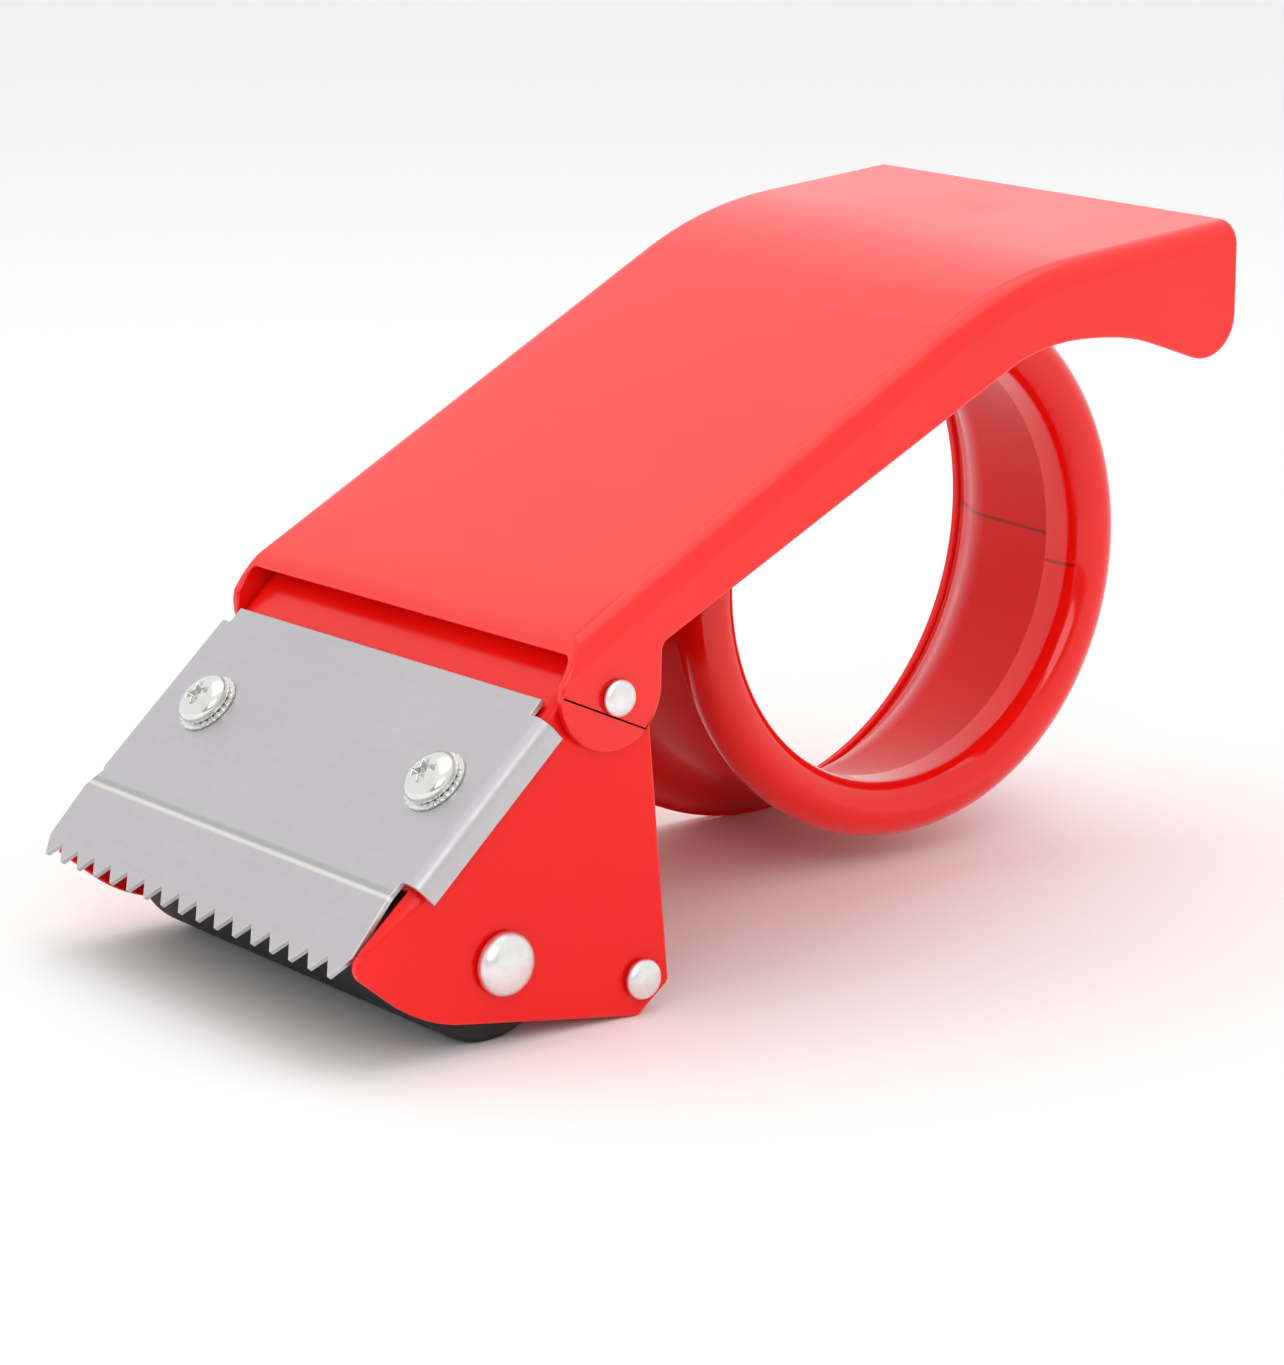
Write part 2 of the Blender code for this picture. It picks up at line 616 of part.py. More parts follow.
def make_screw(label, y, material):
    """Pan-head screw with a cross recess."""
    seat = WASHER_THICKNESS + 2 * GAP
    profile = [(0.0, -SCREW_LENGTH), (SCREW_RADIUS - 0.3, -SCREW_LENGTH)]
    profile += [(SCREW_RADIUS, -SCREW_LENGTH + 0.4), (SCREW_RADIUS, 0.0), (SCREW_HEAD_RADIUS, 0.0)]
    for k in range(4):
        angle = math.pi / 2 * k / 4
        radius = SCREW_HEAD_RADIUS * math.cos(angle) ** 0.8
        profile.append((radius, 0.5 + (SCREW_HEAD_HEIGHT - 0.5) * math.sin(angle)))
    profile.append((0.0, SCREW_HEAD_HEIGHT))
    screw = turned_on_front(label + "_screw", profile, y, seat, material, 20)
    for index in range(2):
        bm = bmesh.new()
        bmesh.ops.create_cube(bm, size=1.0)
        bmesh.ops.scale(bm, verts=bm.verts, vec=(3.7, 0.9, 2.4))
        bottom = [vert for vert in bm.verts if vert.co.z < 0]
        bmesh.ops.scale(bm, verts=bottom, vec=(0.55, 0.8, 1.0))
        turn = Matrix.Rotation(math.radians(28 + 90 * index), 3, "Z")
        bmesh.ops.rotate(bm, verts=bm.verts, cent=(0, 0, 0), matrix=turn)
        tool = link_mesh(bm, label + "_recess_tool_" + str(index))
        tool.matrix_world = front_frame(y, seat + SCREW_HEAD_HEIGHT + 0.3)
        combine(screw, tool, "DIFFERENCE")
    return screw


def make_washer(label, y, material):
    bore = SCREW_RADIUS + GAP
    top = WASHER_THICKNESS
    profile = [(bore, 0.0), (WASHER_RADIUS, 0.0), (WASHER_RADIUS, top), (bore, top)]
    return turned_on_front(label + "_washer", profile, y, GAP, material, 24)


def make_nut(label, y, material):
    seat = WEB_DEPTH + SHEET + GAP
    bore = SCREW_RADIUS + GAP
    outer = NUT_FLATS / math.sqrt(3)
    bm = bmesh.new()
    bmesh.ops.create_cone(
        bm, cap_ends=True, segments=6, radius1=outer, radius2=outer, depth=NUT_THICKNESS
    )
    bmesh.ops.translate(bm, verts=bm.verts, vec=(0, 0, -NUT_THICKNESS / 2))
    nut = link_mesh(bm, label + "_nut", material)
    nut.matrix_world = front_frame(y, -seat)
    combine(nut, front_rod(label + "_nut_bore_tool", y, bore, -12, 8), "DIFFERENCE")
    return nut


# ---- pins, roller and guide --------------------------------------------------------
def make_rivet(name, axis, shank, head, height, seat_y, material):
    """Through rivet with a domed head on each side, seated at |y| = seat_y."""
    dome = []
    for k in range(4):
        angle = math.pi / 2 * k / 4
        dome.append((head * math.cos(angle), seat_y + 0.25 + (height - 0.25) * math.sin(angle)))
    half = [(shank, seat_y), (head, seat_y), *dome, (0.0, seat_y + height)]
    mirrored = [(radius, -y) for radius, y in reversed(half)]
    return turned(name, mirrored + half, axis, material, 20)


def tube_profile(bore, radius, y_low, y_high, chamfer=0.0):
    if chamfer == 0.0:
        return [(bore, y_low), (radius, y_low), (radius, y_high), (bore, y_high)]
    return [
        (bore, y_low),
        (radius - chamfer, y_low),
        (radius, y_low + chamfer),
        (radius, y_high - chamfer),
        (radius - chamfer, y_high),
        (bore, y_high),
    ]


def make_roller(rubber, plastic):
    half = ROLLER_HALF_LENGTH
    turned(
        "rubber_roller",
        tube_profile(RUBBER_BORE, ROLLER_RADIUS, -half, half, 0.6),
        ROLLER_AXIS, rubber, 40,
    )
    turned(
        "roller_core", tube_profile(CORE_BORE, CORE_RADIUS, -half, half), ROLLER_AXIS, plastic, 24
    )
    bore = AXLE_RADIUS + GAP
    for label, side in (("near", -1), ("far", 1)):
        end = side * (half + GAP)
        face = side * (FRAME_HALF_WIDTH - SHEET - GAP)
        profile = [
            (bore, side * (half - BUSH_LENGTH)),
            (BUSH_RADIUS, side * (half - BUSH_LENGTH)),
            (BUSH_RADIUS, end),
            (BUSH_FLANGE_RADIUS, end),
            (BUSH_FLANGE_RADIUS, face),
            (bore, face),
        ]
        turned(label + "_roller_bush", profile, ROLLER_AXIS, plastic, 24)


def make_guide_sleeve(material):
    half = SLEEVE_HALF_LENGTH
    bore = GUIDE_PIN_RADIUS + GAP
    profile = tube_profile(bore, SLEEVE_RADIUS, -half, half, 0.4)
    return turned("guide_sleeve", profile, GUIDE_AXIS, material, 24)


# ---- torsion spring ----------------------------------------------------------------
def spring_path():
    """Centre line of the wire: leg behind the web, coils, leg under the handle."""
    web_leg = math.atan2(OUT_OF_SLOPE[1], OUT_OF_SLOPE[0])
    handle_leg = math.pi / 2 + HANDLE_SLOPE
    turn = COIL_TURNS * 2 * math.pi + (handle_leg - web_leg)
    steps = COIL_TURNS * 12
    start_y = -COIL_PITCH * COIL_TURNS / 2
    points = []
    for k in range(steps + 1):
        angle = web_leg + turn * k / steps
        y = start_y + COIL_PITCH * COIL_TURNS * k / steps
        points.append(Vector((COIL_RADIUS * math.cos(angle), y, COIL_RADIUS * math.sin(angle))))
    down = Vector((DOWN_SLOPE[0], 0, DOWN_SLOPE[1]))
    back = Vector((math.cos(HANDLE_SLOPE), 0, math.sin(HANDLE_SLOPE)))
    up = Vector((-back.z, 0, back.x))
    reach = handle_clearance() - COIL_RADIUS
    first, last = points[0], points[-1]
    near = [first + down * LEG_DOWN, first + down * LEG_DOWN * 0.3]
    far = [last + back * LEG_BACK * 0.2, last + back * LEG_BACK * 0.8 + up * reach]
    far.append(last + back * LEG_BACK + up * reach)
    return near + points + far


def handle_clearance():
    """Height of the wire's centre over the pivot where it meets the handle."""
    x0, z0 = HANDLE_FRONT
    slope = HANDLE_SLOPE
    height = (x0 - PIVOT[0]) * -math.sin(slope) + (z0 - PIVOT[1]) * math.cos(slope)
    return height - SHEET - GAP - WIRE_RADIUS


def make_spring(material):
    curve = bpy.data.curves.new("torsion_spring", "CURVE")
    curve.dimensions = "3D"
    curve.bevel_depth = WIRE_RADIUS * MM
    curve.bevel_resolution = 2
    curve.use_fill_caps = True
    points = spring_path()
    line = curve.splines.new("POLY")
    line.points.add(len(points) - 1)
    for item, point in zip(line.points, points):
        item.co = (*(point * MM), 1.0)
    curve.materials.append(material)
    spring = bpy.data.objects.new("torsion_spring", curve)
    spring.location = (PIVOT[0] * MM, 0, PIVOT[1] * MM)
    bpy.context.scene.collection.objects.link(spring)
    return spring


# ---- assembly ----------------------------------------------------------------------
def build():
    clear_scene()
    enamel = make_material("red_enamel", ENAMEL, 0.18, 0.0)
    enamel_dark = make_material("red_enamel_hub", ENAMEL_DARK, 0.22, 0.0)
    stainless = make_material("stainless_plate", STAINLESS, 0.34, 1.0)
    zinc = make_material("bright_zinc", ZINC, 0.22, 1.0)
    rubber = make_material("black_rubber", RUBBER, 0.62, 0.0)
    plastic = make_material("natural_nylon", PLASTIC, 0.42, 0.0)
    spring_steel = make_material("spring_steel", SPRING_STEEL, 0.32, 1.0)

    make_frame(enamel)
    make_hub_tube(enamel_dark)
    make_hub_rim(enamel)
    make_handle(enamel)
    make_cutter(stainless)
    for label, y in zip(("near", "far"), SCREW_Y):
        make_screw(label, y, zinc)
        make_washer(label, y, zinc)
        make_nut(label, y, zinc)
    plate = FRAME_HALF_WIDTH + GAP
    make_rivet(
        "roller_axle", ROLLER_AXIS, AXLE_RADIUS, AXLE_HEAD_RADIUS, AXLE_HEAD_HEIGHT, plate, zinc
    )
    make_rivet(
        "guide_pin", GUIDE_AXIS, GUIDE_PIN_RADIUS, GUIDE_HEAD_RADIUS, GUIDE_HEAD_HEIGHT,
        plate, zinc,
    )
    make_rivet(
        "pivot_pin", PIVOT, PIVOT_PIN_RADIUS, PIVOT_HEAD_RADIUS, PIVOT_HEAD_HEIGHT,
        HANDLE_HALF_WIDTH + GAP, zinc,
    )
    make_roller(rubber, plastic)
    make_guide_sleeve(plastic)
    make_spring(spring_steel)

    stand = bpy.data.objects.new("dispenser_origin", None)
    stand.location.x = CENTRE_SHIFT * MM
    bpy.context.scene.collection.objects.link(stand)
    for part in bpy.data.objects:
        if part is not stand:
            part.parent = stand


build()
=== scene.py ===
"""Looks of the hand-held packing-tape dispenser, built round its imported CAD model.

The pressings are rebuilt finer than the CAD, with rounded sheet edges, and every
surface gets a node material. Lengths are millimetres until a mesh is linked.
"""
import math

import bmesh
import bpy
from mathutils import Matrix, Vector


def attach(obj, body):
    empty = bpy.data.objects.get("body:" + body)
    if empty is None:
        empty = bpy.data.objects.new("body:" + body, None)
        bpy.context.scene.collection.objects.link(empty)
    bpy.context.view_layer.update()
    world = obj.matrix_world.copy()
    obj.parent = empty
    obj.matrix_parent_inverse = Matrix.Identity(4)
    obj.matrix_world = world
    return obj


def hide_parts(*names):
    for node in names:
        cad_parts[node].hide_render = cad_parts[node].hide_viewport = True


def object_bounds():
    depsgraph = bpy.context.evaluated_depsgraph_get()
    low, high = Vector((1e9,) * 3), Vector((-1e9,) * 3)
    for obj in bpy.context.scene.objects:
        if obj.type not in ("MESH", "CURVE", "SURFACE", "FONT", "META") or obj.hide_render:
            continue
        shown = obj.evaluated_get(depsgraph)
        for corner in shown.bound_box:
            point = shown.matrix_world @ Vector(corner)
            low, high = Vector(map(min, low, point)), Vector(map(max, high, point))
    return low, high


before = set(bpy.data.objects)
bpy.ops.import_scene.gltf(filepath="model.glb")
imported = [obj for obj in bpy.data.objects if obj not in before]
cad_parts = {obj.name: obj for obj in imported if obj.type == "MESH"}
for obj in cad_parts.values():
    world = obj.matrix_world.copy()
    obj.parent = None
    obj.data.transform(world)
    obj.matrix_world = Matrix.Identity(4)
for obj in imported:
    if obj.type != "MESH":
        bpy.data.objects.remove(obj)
cad_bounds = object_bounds()

MM = 0.001
CENTRE_SHIFT = 10.3            # the lengths below count x from a point this far ahead
GAP = 0.3

# ---- driving dimensions, millimetres -----------------------------------------------
SHEET = 1.0                    # thickness of the enamelled pressings
FRAME_HALF_WIDTH = 27.1        # outside of the frame's side plates
HANDLE_HALF_WIDTH = 28.4       # outside of the handle's flanges
BLADE_SHEET = 0.6              # thickness of the stainless cutter plate

# Pivot between frame and handle, roller axle and rear guide pin, as (x, z).
PIVOT = (-41.8, 31.4)
ROLLER_AXIS = (-53.9, 8.1)
GUIDE_AXIS = (-38.1, 3.7)

# Inclined front of the frame: the cutter plate's outer face starts at FRONT_TOP.
FRONT_TOP = (-48.4, 31.7)
FRONT_ANGLE = math.radians(42.9)
WEB_DEPTH = BLADE_SHEET + GAP  # the web's outer face lies this far behind that face
WEB_END = 21.4                 # the web's lower edge, measured down the slope
FRAME_BEND = 1.6               # outer bend radius between web and side plates
FRAME_CROWN = 4.6              # radius of the side plates' top round the pivot

# Frame side plate, lower outline: (x, z, corner radius).
NOSE_LOW = (-62.5, 3.6, 16.0)
HEEL = (-38.3, 0.0, 1.0)
HEEL_TOP = (-34.7, 2.8, 0.8)
FRAME_REAR_TOP_X = -37.3

# Ring at the end of the frame's long side plate, and the arm that leads to it.
HUB_AXIS = (17.5, 32.8)
RING_RADIUS = 32.8
RING_HOLE = 31.6
RING_FLAT = 32.5               # the handle rests on this flat of the ring
ARM_TOP = 27.5
ARM_BOTTOM = 8.0
ARM_TOP_FILLET = 8.0
ARM_BOTTOM_FILLET = 6.0

# Hub tube (conical, flared where it meets the ring) and its curled front rim.
TUBE_NEAR_Y = 2.4
TUBE_NEAR_RADIUS = 24.7
TUBE_NECK_Y = 18.6
TUBE_NECK_RADIUS = 27.3
TUBE_FLARE_END = (24.3, 31.0)
TUBE_LIP_RADIUS = 31.9
TUBE_SHEET = 0.9
RIM_BEAD_RADIUS = 26.75        # centre line of the curled bead
RIM_BEAD_SIZE = 3.0            # outer radius of the bead's section
RIM_SHEET = 0.8
RIM_COLLAR_END = 3.0
RIM_CURL = math.radians(275)

# Handle: straight slope, then a bend towards the rear.
HANDLE_FRONT = (-45.1, 37.3)
HANDLE_SLOPE = math.radians(29.1)
HANDLE_BEND_X = 4.0            # start of the bend on the hub's side
HANDLE_NEAR_BEND_X = -0.5      # and on the open side, which ends up lower at the rear
HANDLE_BEND_RADIUS = 45.0
HANDLE_REAR_SLOPE = math.radians(6.5)
HANDLE_REAR_X = 37.4
HANDLE_FOLD = 2.4              # outer radius of the folds along both sides
EAR_CENTRE = (-42.2, 32.0)
EAR_RADIUS = 5.7
EAR_REAR_TOP = (-36.4, 35.7, 1.2)
FLANGE_ARCH = (16.5, 63.4, 24.0)
FLANGE_LOBE = (37.4, 56.5, 4.4)

# Cutter plate, measured down the slope from FRONT_TOP.
TAB_HALF_WIDTH = 25.9
TAB_LENGTH = 1.8
FOLD_HALF_WIDTH = 28.3
FOLD_RADIUS = 1.5
FOLD_END = 21.3
FOLD_DEPTH = 2.9
CREASE = 23.2
CREASE_ANGLE = math.radians(7.7)
BLADE_SIDE = 6.2
TOOTH_TIP = 8.7
TOOTH_ROOT = 6.85
TOOTH_COUNT = 16
TOOTH_PITCH = 3.22
HORN_TOP = (0.6, 28.0)         # far end of the blade, as (s past the crease, y):
HORN_SIDE = (6.4, 28.6)        # it overhangs the side plate and ends in a point
HORN_TIP = (8.5, 27.4)
SCREW_S = 11.2
SCREW_Y = (-20.7, 18.9)        # both screws sit slightly towards the open side

# Fasteners and pins.
PIVOT_PIN_RADIUS, PIVOT_HEAD_RADIUS, PIVOT_HEAD_HEIGHT = 1.1, 1.75, 1.0
AXLE_RADIUS, AXLE_HEAD_RADIUS, AXLE_HEAD_HEIGHT = 2.0, 3.05, 1.9
GUIDE_PIN_RADIUS, GUIDE_HEAD_RADIUS, GUIDE_HEAD_HEIGHT = 1.2, 1.95, 1.2
SCREW_RADIUS, SCREW_HEAD_RADIUS, SCREW_HEAD_HEIGHT = 1.6, 2.85, 1.9
SCREW_LENGTH = 7.2
WASHER_RADIUS, WASHER_THICKNESS = 3.3, 0.4

# Roller.
ROLLER_RADIUS = 8.1
ROLLER_HALF_LENGTH = 25.0
RUBBER_BORE = 5.7

# Details that only this model has.
INNER_FOLD_EASE = 0.5          # the handle's inner folds are this much tighter
HANDLE_SLICES = 9              # lengths that the handle's flat sides are cut into
HEAD_CROWN = SCREW_HEAD_HEIGHT - 0.2
RECESS = (4.3, 1.0, 2.4)       # one arm of the screws' cross recess
RECESS_TURN = math.radians(28)
THREAD_PITCH, THREAD_DEPTH = 0.5, 0.22
WASHER_TEETH = 22
TUBE_SEAM, RIM_SEAM = -1.0, -7.5   # welded joints of the hub, degrees about its axis
RIM_SEAM_REACH = 0.0243        # metres; the rim's joint stays on its collar
SEAM_HALF_WIDTH = 0.011        # radians

# Camera and lamps, in metres and watts.
CAMERA_PLACE = (-0.24914 + CENTRE_SHIFT * MM, -0.30305, 0.11063)
CAMERA_PITCH, CAMERA_HEADING = math.radians(90 - 11.82), math.radians(-37.44)
CAMERA_LENS, CAMERA_SHIFT_Y = 101.93, -0.0458
KEY_PLACE, KEY_SIZE, KEY_POWER = (-0.50, -0.60, 0.45), (0.45, 0.45), 1.6
OVERHEAD_PLACE, OVERHEAD_SIZE, OVERHEAD_POWER = (0.05, 0.10, 0.80), (0.70, 0.70), 1.2
SKY_STRENGTH = 0.95


# ---- outlines ----------------------------------------------------------------------
def arc(centre, radius, start, end, steps):
    """Points on an arc in the XZ plane, both ends included."""
    points = []
    for i in range(steps + 1):
        angle = start + (end - start) * i / steps
        points.append((centre[0] + radius * math.cos(angle), centre[1] + radius * math.sin(angle)))
    return points


def rounded(corners):
    """A closed outline of (x, z[, radius]) corners, each rounded to its radius."""
    points = []
    count = len(corners)
    for i, corner in enumerate(corners):
        here = Vector(corner[:2])
        radius = corner[2] if len(corner) > 2 else 0.0
        if radius == 0.0:
            points.append(tuple(here))
            continue
        before = (Vector(corners[i - 1][:2]) - here).normalized()
        after = (Vector(corners[(i + 1) % count][:2]) - here).normalized()
        half = before.angle(after) / 2
        centre = here + (before + after).normalized() * radius / math.sin(half)
        first = here + before * radius / math.tan(half) - centre
        last = here + after * radius / math.tan(half) - centre
        turn = math.atan2(first.cross(last), first.dot(last))
        steps = max(2, round(abs(turn) / math.radians(4)))
        for k in range(steps + 1):
            spoke = Matrix.Rotation(turn * k / steps, 2) @ first
            points.append(tuple(centre + spoke))
    return points


def prism(outline, y_low, y_high):
    """A bmesh block: the XZ outline carried from y_low to y_high."""
    bm = bmesh.new()
    base = bm.faces.new([bm.verts.new((x, y_low, z)) for x, z in outline])
    swept = bmesh.ops.extrude_face_region(bm, geom=[base])
    moved = [item for item in swept["geom"] if isinstance(item, bmesh.types.BMVert)]
    bmesh.ops.translate(bm, verts=moved, vec=(0, y_high - y_low, 0))
    bmesh.ops.recalc_face_normals(bm, faces=bm.faces)
    return bm


def fold_edges(bm, chain, half_width, radius):
    """Round the edges at |y| = half_width whose ends both lie on the XZ chain."""
    def on_chain(vert):
        if abs(abs(vert.co.y) - half_width) > 1e-3:
            return False
        return any(math.hypot(vert.co.x - x, vert.co.z - z) < 1e-3 for x, z in chain)

    edges = []
    for edge in bm.edges:
        a, b = edge.verts
        if abs(a.co.y - b.co.y) < 1e-3 and on_chain(a) and on_chain(b):
            edges.append(edge)
    bmesh.ops.bevel(bm, geom=edges, offset=radius, segments=9, profile=0.5, affect="EDGES")


# ---- places on the inclined front --------------------------------------------------
DOWN_SLOPE = (-math.cos(FRONT_ANGLE), -math.sin(FRONT_ANGLE))
OUT_OF_SLOPE = (-math.sin(FRONT_ANGLE), math.cos(FRONT_ANGLE))


def on_front(s, n):
    """(x, z) of the point s down the slope and n outside the cutter plate's face."""
    x = FRONT_TOP[0] + s * DOWN_SLOPE[0] + n * OUT_OF_SLOPE[0]
    z = FRONT_TOP[1] + s * DOWN_SLOPE[1] + n * OUT_OF_SLOPE[1]
    return x, z


def slope_of(point):
    """The s of an (x, z) point, measured down the slope."""
    return (point[0] - FRONT_TOP[0]) * DOWN_SLOPE[0] + (point[1] - FRONT_TOP[1]) * DOWN_SLOPE[1]


def depth_of(point):
    """The n of an (x, z) point, negative behind the cutter plate's face."""
    return (point[0] - FRONT_TOP[0]) * OUT_OF_SLOPE[0] + (point[1] - FRONT_TOP[1]) * OUT_OF_SLOPE[1]


def frame_outline():
    """Side view of the frame, with the two ends of its web."""
    web_distance = -WEB_DEPTH - depth_of(PIVOT)
    rise = math.sqrt(FRAME_CROWN ** 2 - web_distance ** 2)
    web_top = on_front(slope_of(PIVOT) - rise, -WEB_DEPTH)
    web_low = on_front(WEB_END, -WEB_DEPTH)

    nose_tip = on_front(30.85, -WEB_DEPTH)
    front = rounded([
        web_low,
        (nose_tip[0], nose_tip[1], 1.5),
        NOSE_LOW,
        HEEL,
        HEEL_TOP,
        (FRAME_REAR_TOP_X, PIVOT[1]),
        web_top,
    ])
    crown_start = math.acos((FRAME_REAR_TOP_X - PIVOT[0]) / FRAME_CROWN)
    crown_end = math.atan2(web_top[1] - PIVOT[1], web_top[0] - PIVOT[0])
    crown = arc(PIVOT, FRAME_CROWN, crown_start, crown_end, 18)
    return front[:-2] + crown, (web_low, crown[-1])


def arm_outline():
    """The long side plate's arm and ring, overlapping the frame's side plate."""
    cx, cz = HUB_AXIS
    reach = RING_RADIUS + ARM_TOP_FILLET
    top_z = ARM_TOP + ARM_TOP_FILLET
    top = (cx - math.sqrt(reach ** 2 - (top_z - cz) ** 2), top_z)
    reach = RING_RADIUS + ARM_BOTTOM_FILLET
    low_z = ARM_BOTTOM - ARM_BOTTOM_FILLET
    low = (cx - math.sqrt(reach ** 2 - (low_z - cz) ** 2), low_z)
    top_angle = math.atan2(top[1] - cz, top[0] - cx)
    low_angle = math.atan2(low[1] - cz, low[0] - cx) + 2 * math.pi

    rest_angle = math.pi / 2 + HANDLE_SLOPE
    half_flat = math.acos(RING_FLAT / RING_RADIUS)
    points = [(-40.0, ARM_BOTTOM), (-40.0, ARM_TOP)]
    points += arc(top, ARM_TOP_FILLET, -math.pi / 2, top_angle - math.pi, 12)
    points += arc(HUB_AXIS, RING_RADIUS, top_angle, rest_angle + half_flat, 12)[1:]
    points += arc(HUB_AXIS, RING_RADIUS, rest_angle - half_flat, low_angle - 2 * math.pi, 110)
    points += arc(low, ARM_BOTTOM_FILLET, low_angle - math.pi, math.pi / 2, 12)[1:]
    return points


def front_frame(y, n):
    """Matrix of the point on the screw line, local Z pointing out of the slope."""
    x, z = on_front(SCREW_S, n)
    out = Vector((OUT_OF_SLOPE[0], 0, OUT_OF_SLOPE[1]))
    down = Vector((DOWN_SLOPE[0], 0, DOWN_SLOPE[1]))
    turn = Matrix((down, out.cross(down), out)).transposed().to_4x4()
    return Matrix.Translation(Vector((x + CENTRE_SHIFT, y, z)) * MM) @ turn


def thick_line(path, thickness, outward):
    """Closed profile of a sheet whose inner face follows `path` of (radius, y)."""
    outer = []
    for i, point in enumerate(path):
        before = Vector(path[max(i - 1, 0)])
        after = Vector(path[min(i + 1, len(path) - 1)])
        run = (after - before).normalized()
        outer.append(Vector(point) + Vector((run.y, -run.x)) * thickness * outward)
    return [tuple(p) for p in path] + [tuple(p) for p in reversed(outer)]


def handle_top(offset):
    """Top line from front to rear, `offset` below the outer face."""
    slope, rear = HANDLE_SLOPE, HANDLE_REAR_SLOPE
    x0, z0 = HANDLE_FRONT
    bend_z = z0 + (HANDLE_BEND_X - x0) * math.tan(slope)
    centre = (
        HANDLE_BEND_X + HANDLE_BEND_RADIUS * math.sin(slope),
        bend_z - HANDLE_BEND_RADIUS * math.cos(slope),
    )
    radius = HANDLE_BEND_RADIUS - offset
    front = (x0 + offset * math.sin(slope), z0 - offset * math.cos(slope))
    line = arc(centre, radius, math.pi / 2 + slope, math.pi / 2 + rear, 20)
    last = line[-1]
    end = (HANDLE_REAR_X, last[1] + (HANDLE_REAR_X - last[0]) * math.tan(rear))
    back = HANDLE_BEND_X - HANDLE_NEAR_BEND_X
    near_start = (line[0][0] - back, line[0][1] - back * math.tan(slope))
    return [front, near_start, *line, end]


def top_height(x, bend_x):
    """Height of the top's outer face at x when its bend starts at bend_x."""
    slope, rear, radius = HANDLE_SLOPE, HANDLE_REAR_SLOPE, HANDLE_BEND_RADIUS
    x0, z0 = HANDLE_FRONT
    if x <= bend_x:
        return z0 + (x - x0) * math.tan(slope)
    centre_x = bend_x + radius * math.sin(slope)
    centre_z = z0 + (bend_x - x0) * math.tan(slope) - radius * math.cos(slope)
    end_x = centre_x - radius * math.sin(rear)
    if x < end_x:
        return centre_z + math.sqrt(radius ** 2 - (x - centre_x) ** 2)
    return centre_z + radius * math.cos(rear) + (x - end_x) * math.tan(rear)


def lean_to_near_side(bm):
    """Lower the rear towards the open side, where the bend starts sooner."""
    for vert in bm.verts:
        x, y, _ = vert.co
        drop = top_height(x, HANDLE_BEND_X) - top_height(x, HANDLE_NEAR_BEND_X)
        vert.co.z -= drop * (HANDLE_HALF_WIDTH - y) / (2 * HANDLE_HALF_WIDTH)


def cutter_outline():
    """Flat outline as (s, y), from the near side's tab corner round to the far side's."""
    edge = FOLD_HALF_WIDTH - FOLD_RADIUS
    near = [
        (0.0, -TAB_HALF_WIDTH),
        (TAB_LENGTH, -TAB_HALF_WIDTH),
        (TAB_LENGTH, -edge),
        (FOLD_END, -edge),
        (FOLD_END, -TAB_HALF_WIDTH),
        (CREASE + BLADE_SIDE, -TAB_HALF_WIDTH),
    ]
    teeth = []
    first = -TOOTH_PITCH * (TOOTH_COUNT - 1) / 2
    for k in range(TOOTH_COUNT):
        tip = first + TOOTH_PITCH * k
        teeth.append((CREASE + TOOTH_TIP, tip))
        if k < TOOTH_COUNT - 1:
            teeth.append((CREASE + TOOTH_ROOT, tip + TOOTH_PITCH / 2))
    teeth.append((CREASE + TOOTH_ROOT, tip + TOOTH_PITCH / 2))
    horn = [(CREASE + s, y) for s, y in (HORN_TIP, HORN_SIDE, HORN_TOP)]
    far = [(s, -y) for s, y in reversed(near[:4])]
    return near + teeth + horn + far


def bend_into_place(vert):
    """Move a vertex from flat (s, y, n) to its place on the bent plate."""
    s, y, n = vert.co
    if s <= CREASE + 1e-4:
        x, z = on_front(s, n)
    else:
        angle = FRONT_ANGLE + CREASE_ANGLE
        x, z = on_front(CREASE, 0.0)
        run = s - CREASE
        x += -run * math.cos(angle) - n * math.sin(angle)
        z += -run * math.sin(angle) + n * math.cos(angle)
    vert.co = (x, y, z)


def extrude_faces(bm, faces):
    swept = bmesh.ops.extrude_face_region(bm, geom=faces)
    inner = [item for item in faces if item.is_valid]
    bmesh.ops.delete(bm, geom=inner, context="FACES_ONLY")
    return [item for item in swept["geom"] if isinstance(item, bmesh.types.BMFace)]


def blade_clearance():
    """Side view of the space that the overhanging end of the blade needs."""
    depth = -BLADE_SHEET - GAP - 0.05
    angle = FRONT_ANGLE + CREASE_ANGLE
    x, z = on_front(CREASE, depth)
    end = (x - 12 * math.cos(angle), z - 12 * math.sin(angle))
    return [on_front(CREASE - 1.0, depth), (x, z), end, on_front(CREASE + 12, 8.0),
            on_front(CREASE - 1.0, 8.0)]


# ---- mesh helpers ------------------------------------------------------------------
def link_mesh(bm, name, origin=(0.0, 0.0, 0.0)):
    """Store a millimetre bmesh as an object whose origin is at `origin` (mm)."""
    bmesh.ops.translate(bm, verts=bm.verts, vec=-Vector(origin))
    bmesh.ops.scale(bm, verts=bm.verts, vec=(MM, MM, MM))
    bmesh.ops.recalc_face_normals(bm, faces=bm.faces)
    mesh = bpy.data.meshes.new(name)
    bm.to_mesh(mesh)
    bm.free()
    piece = bpy.data.objects.new(name, mesh)
    piece.location = (Vector(origin) + Vector((CENTRE_SHIFT, 0, 0))) * MM
    bpy.context.scene.collection.objects.link(piece)
    return piece


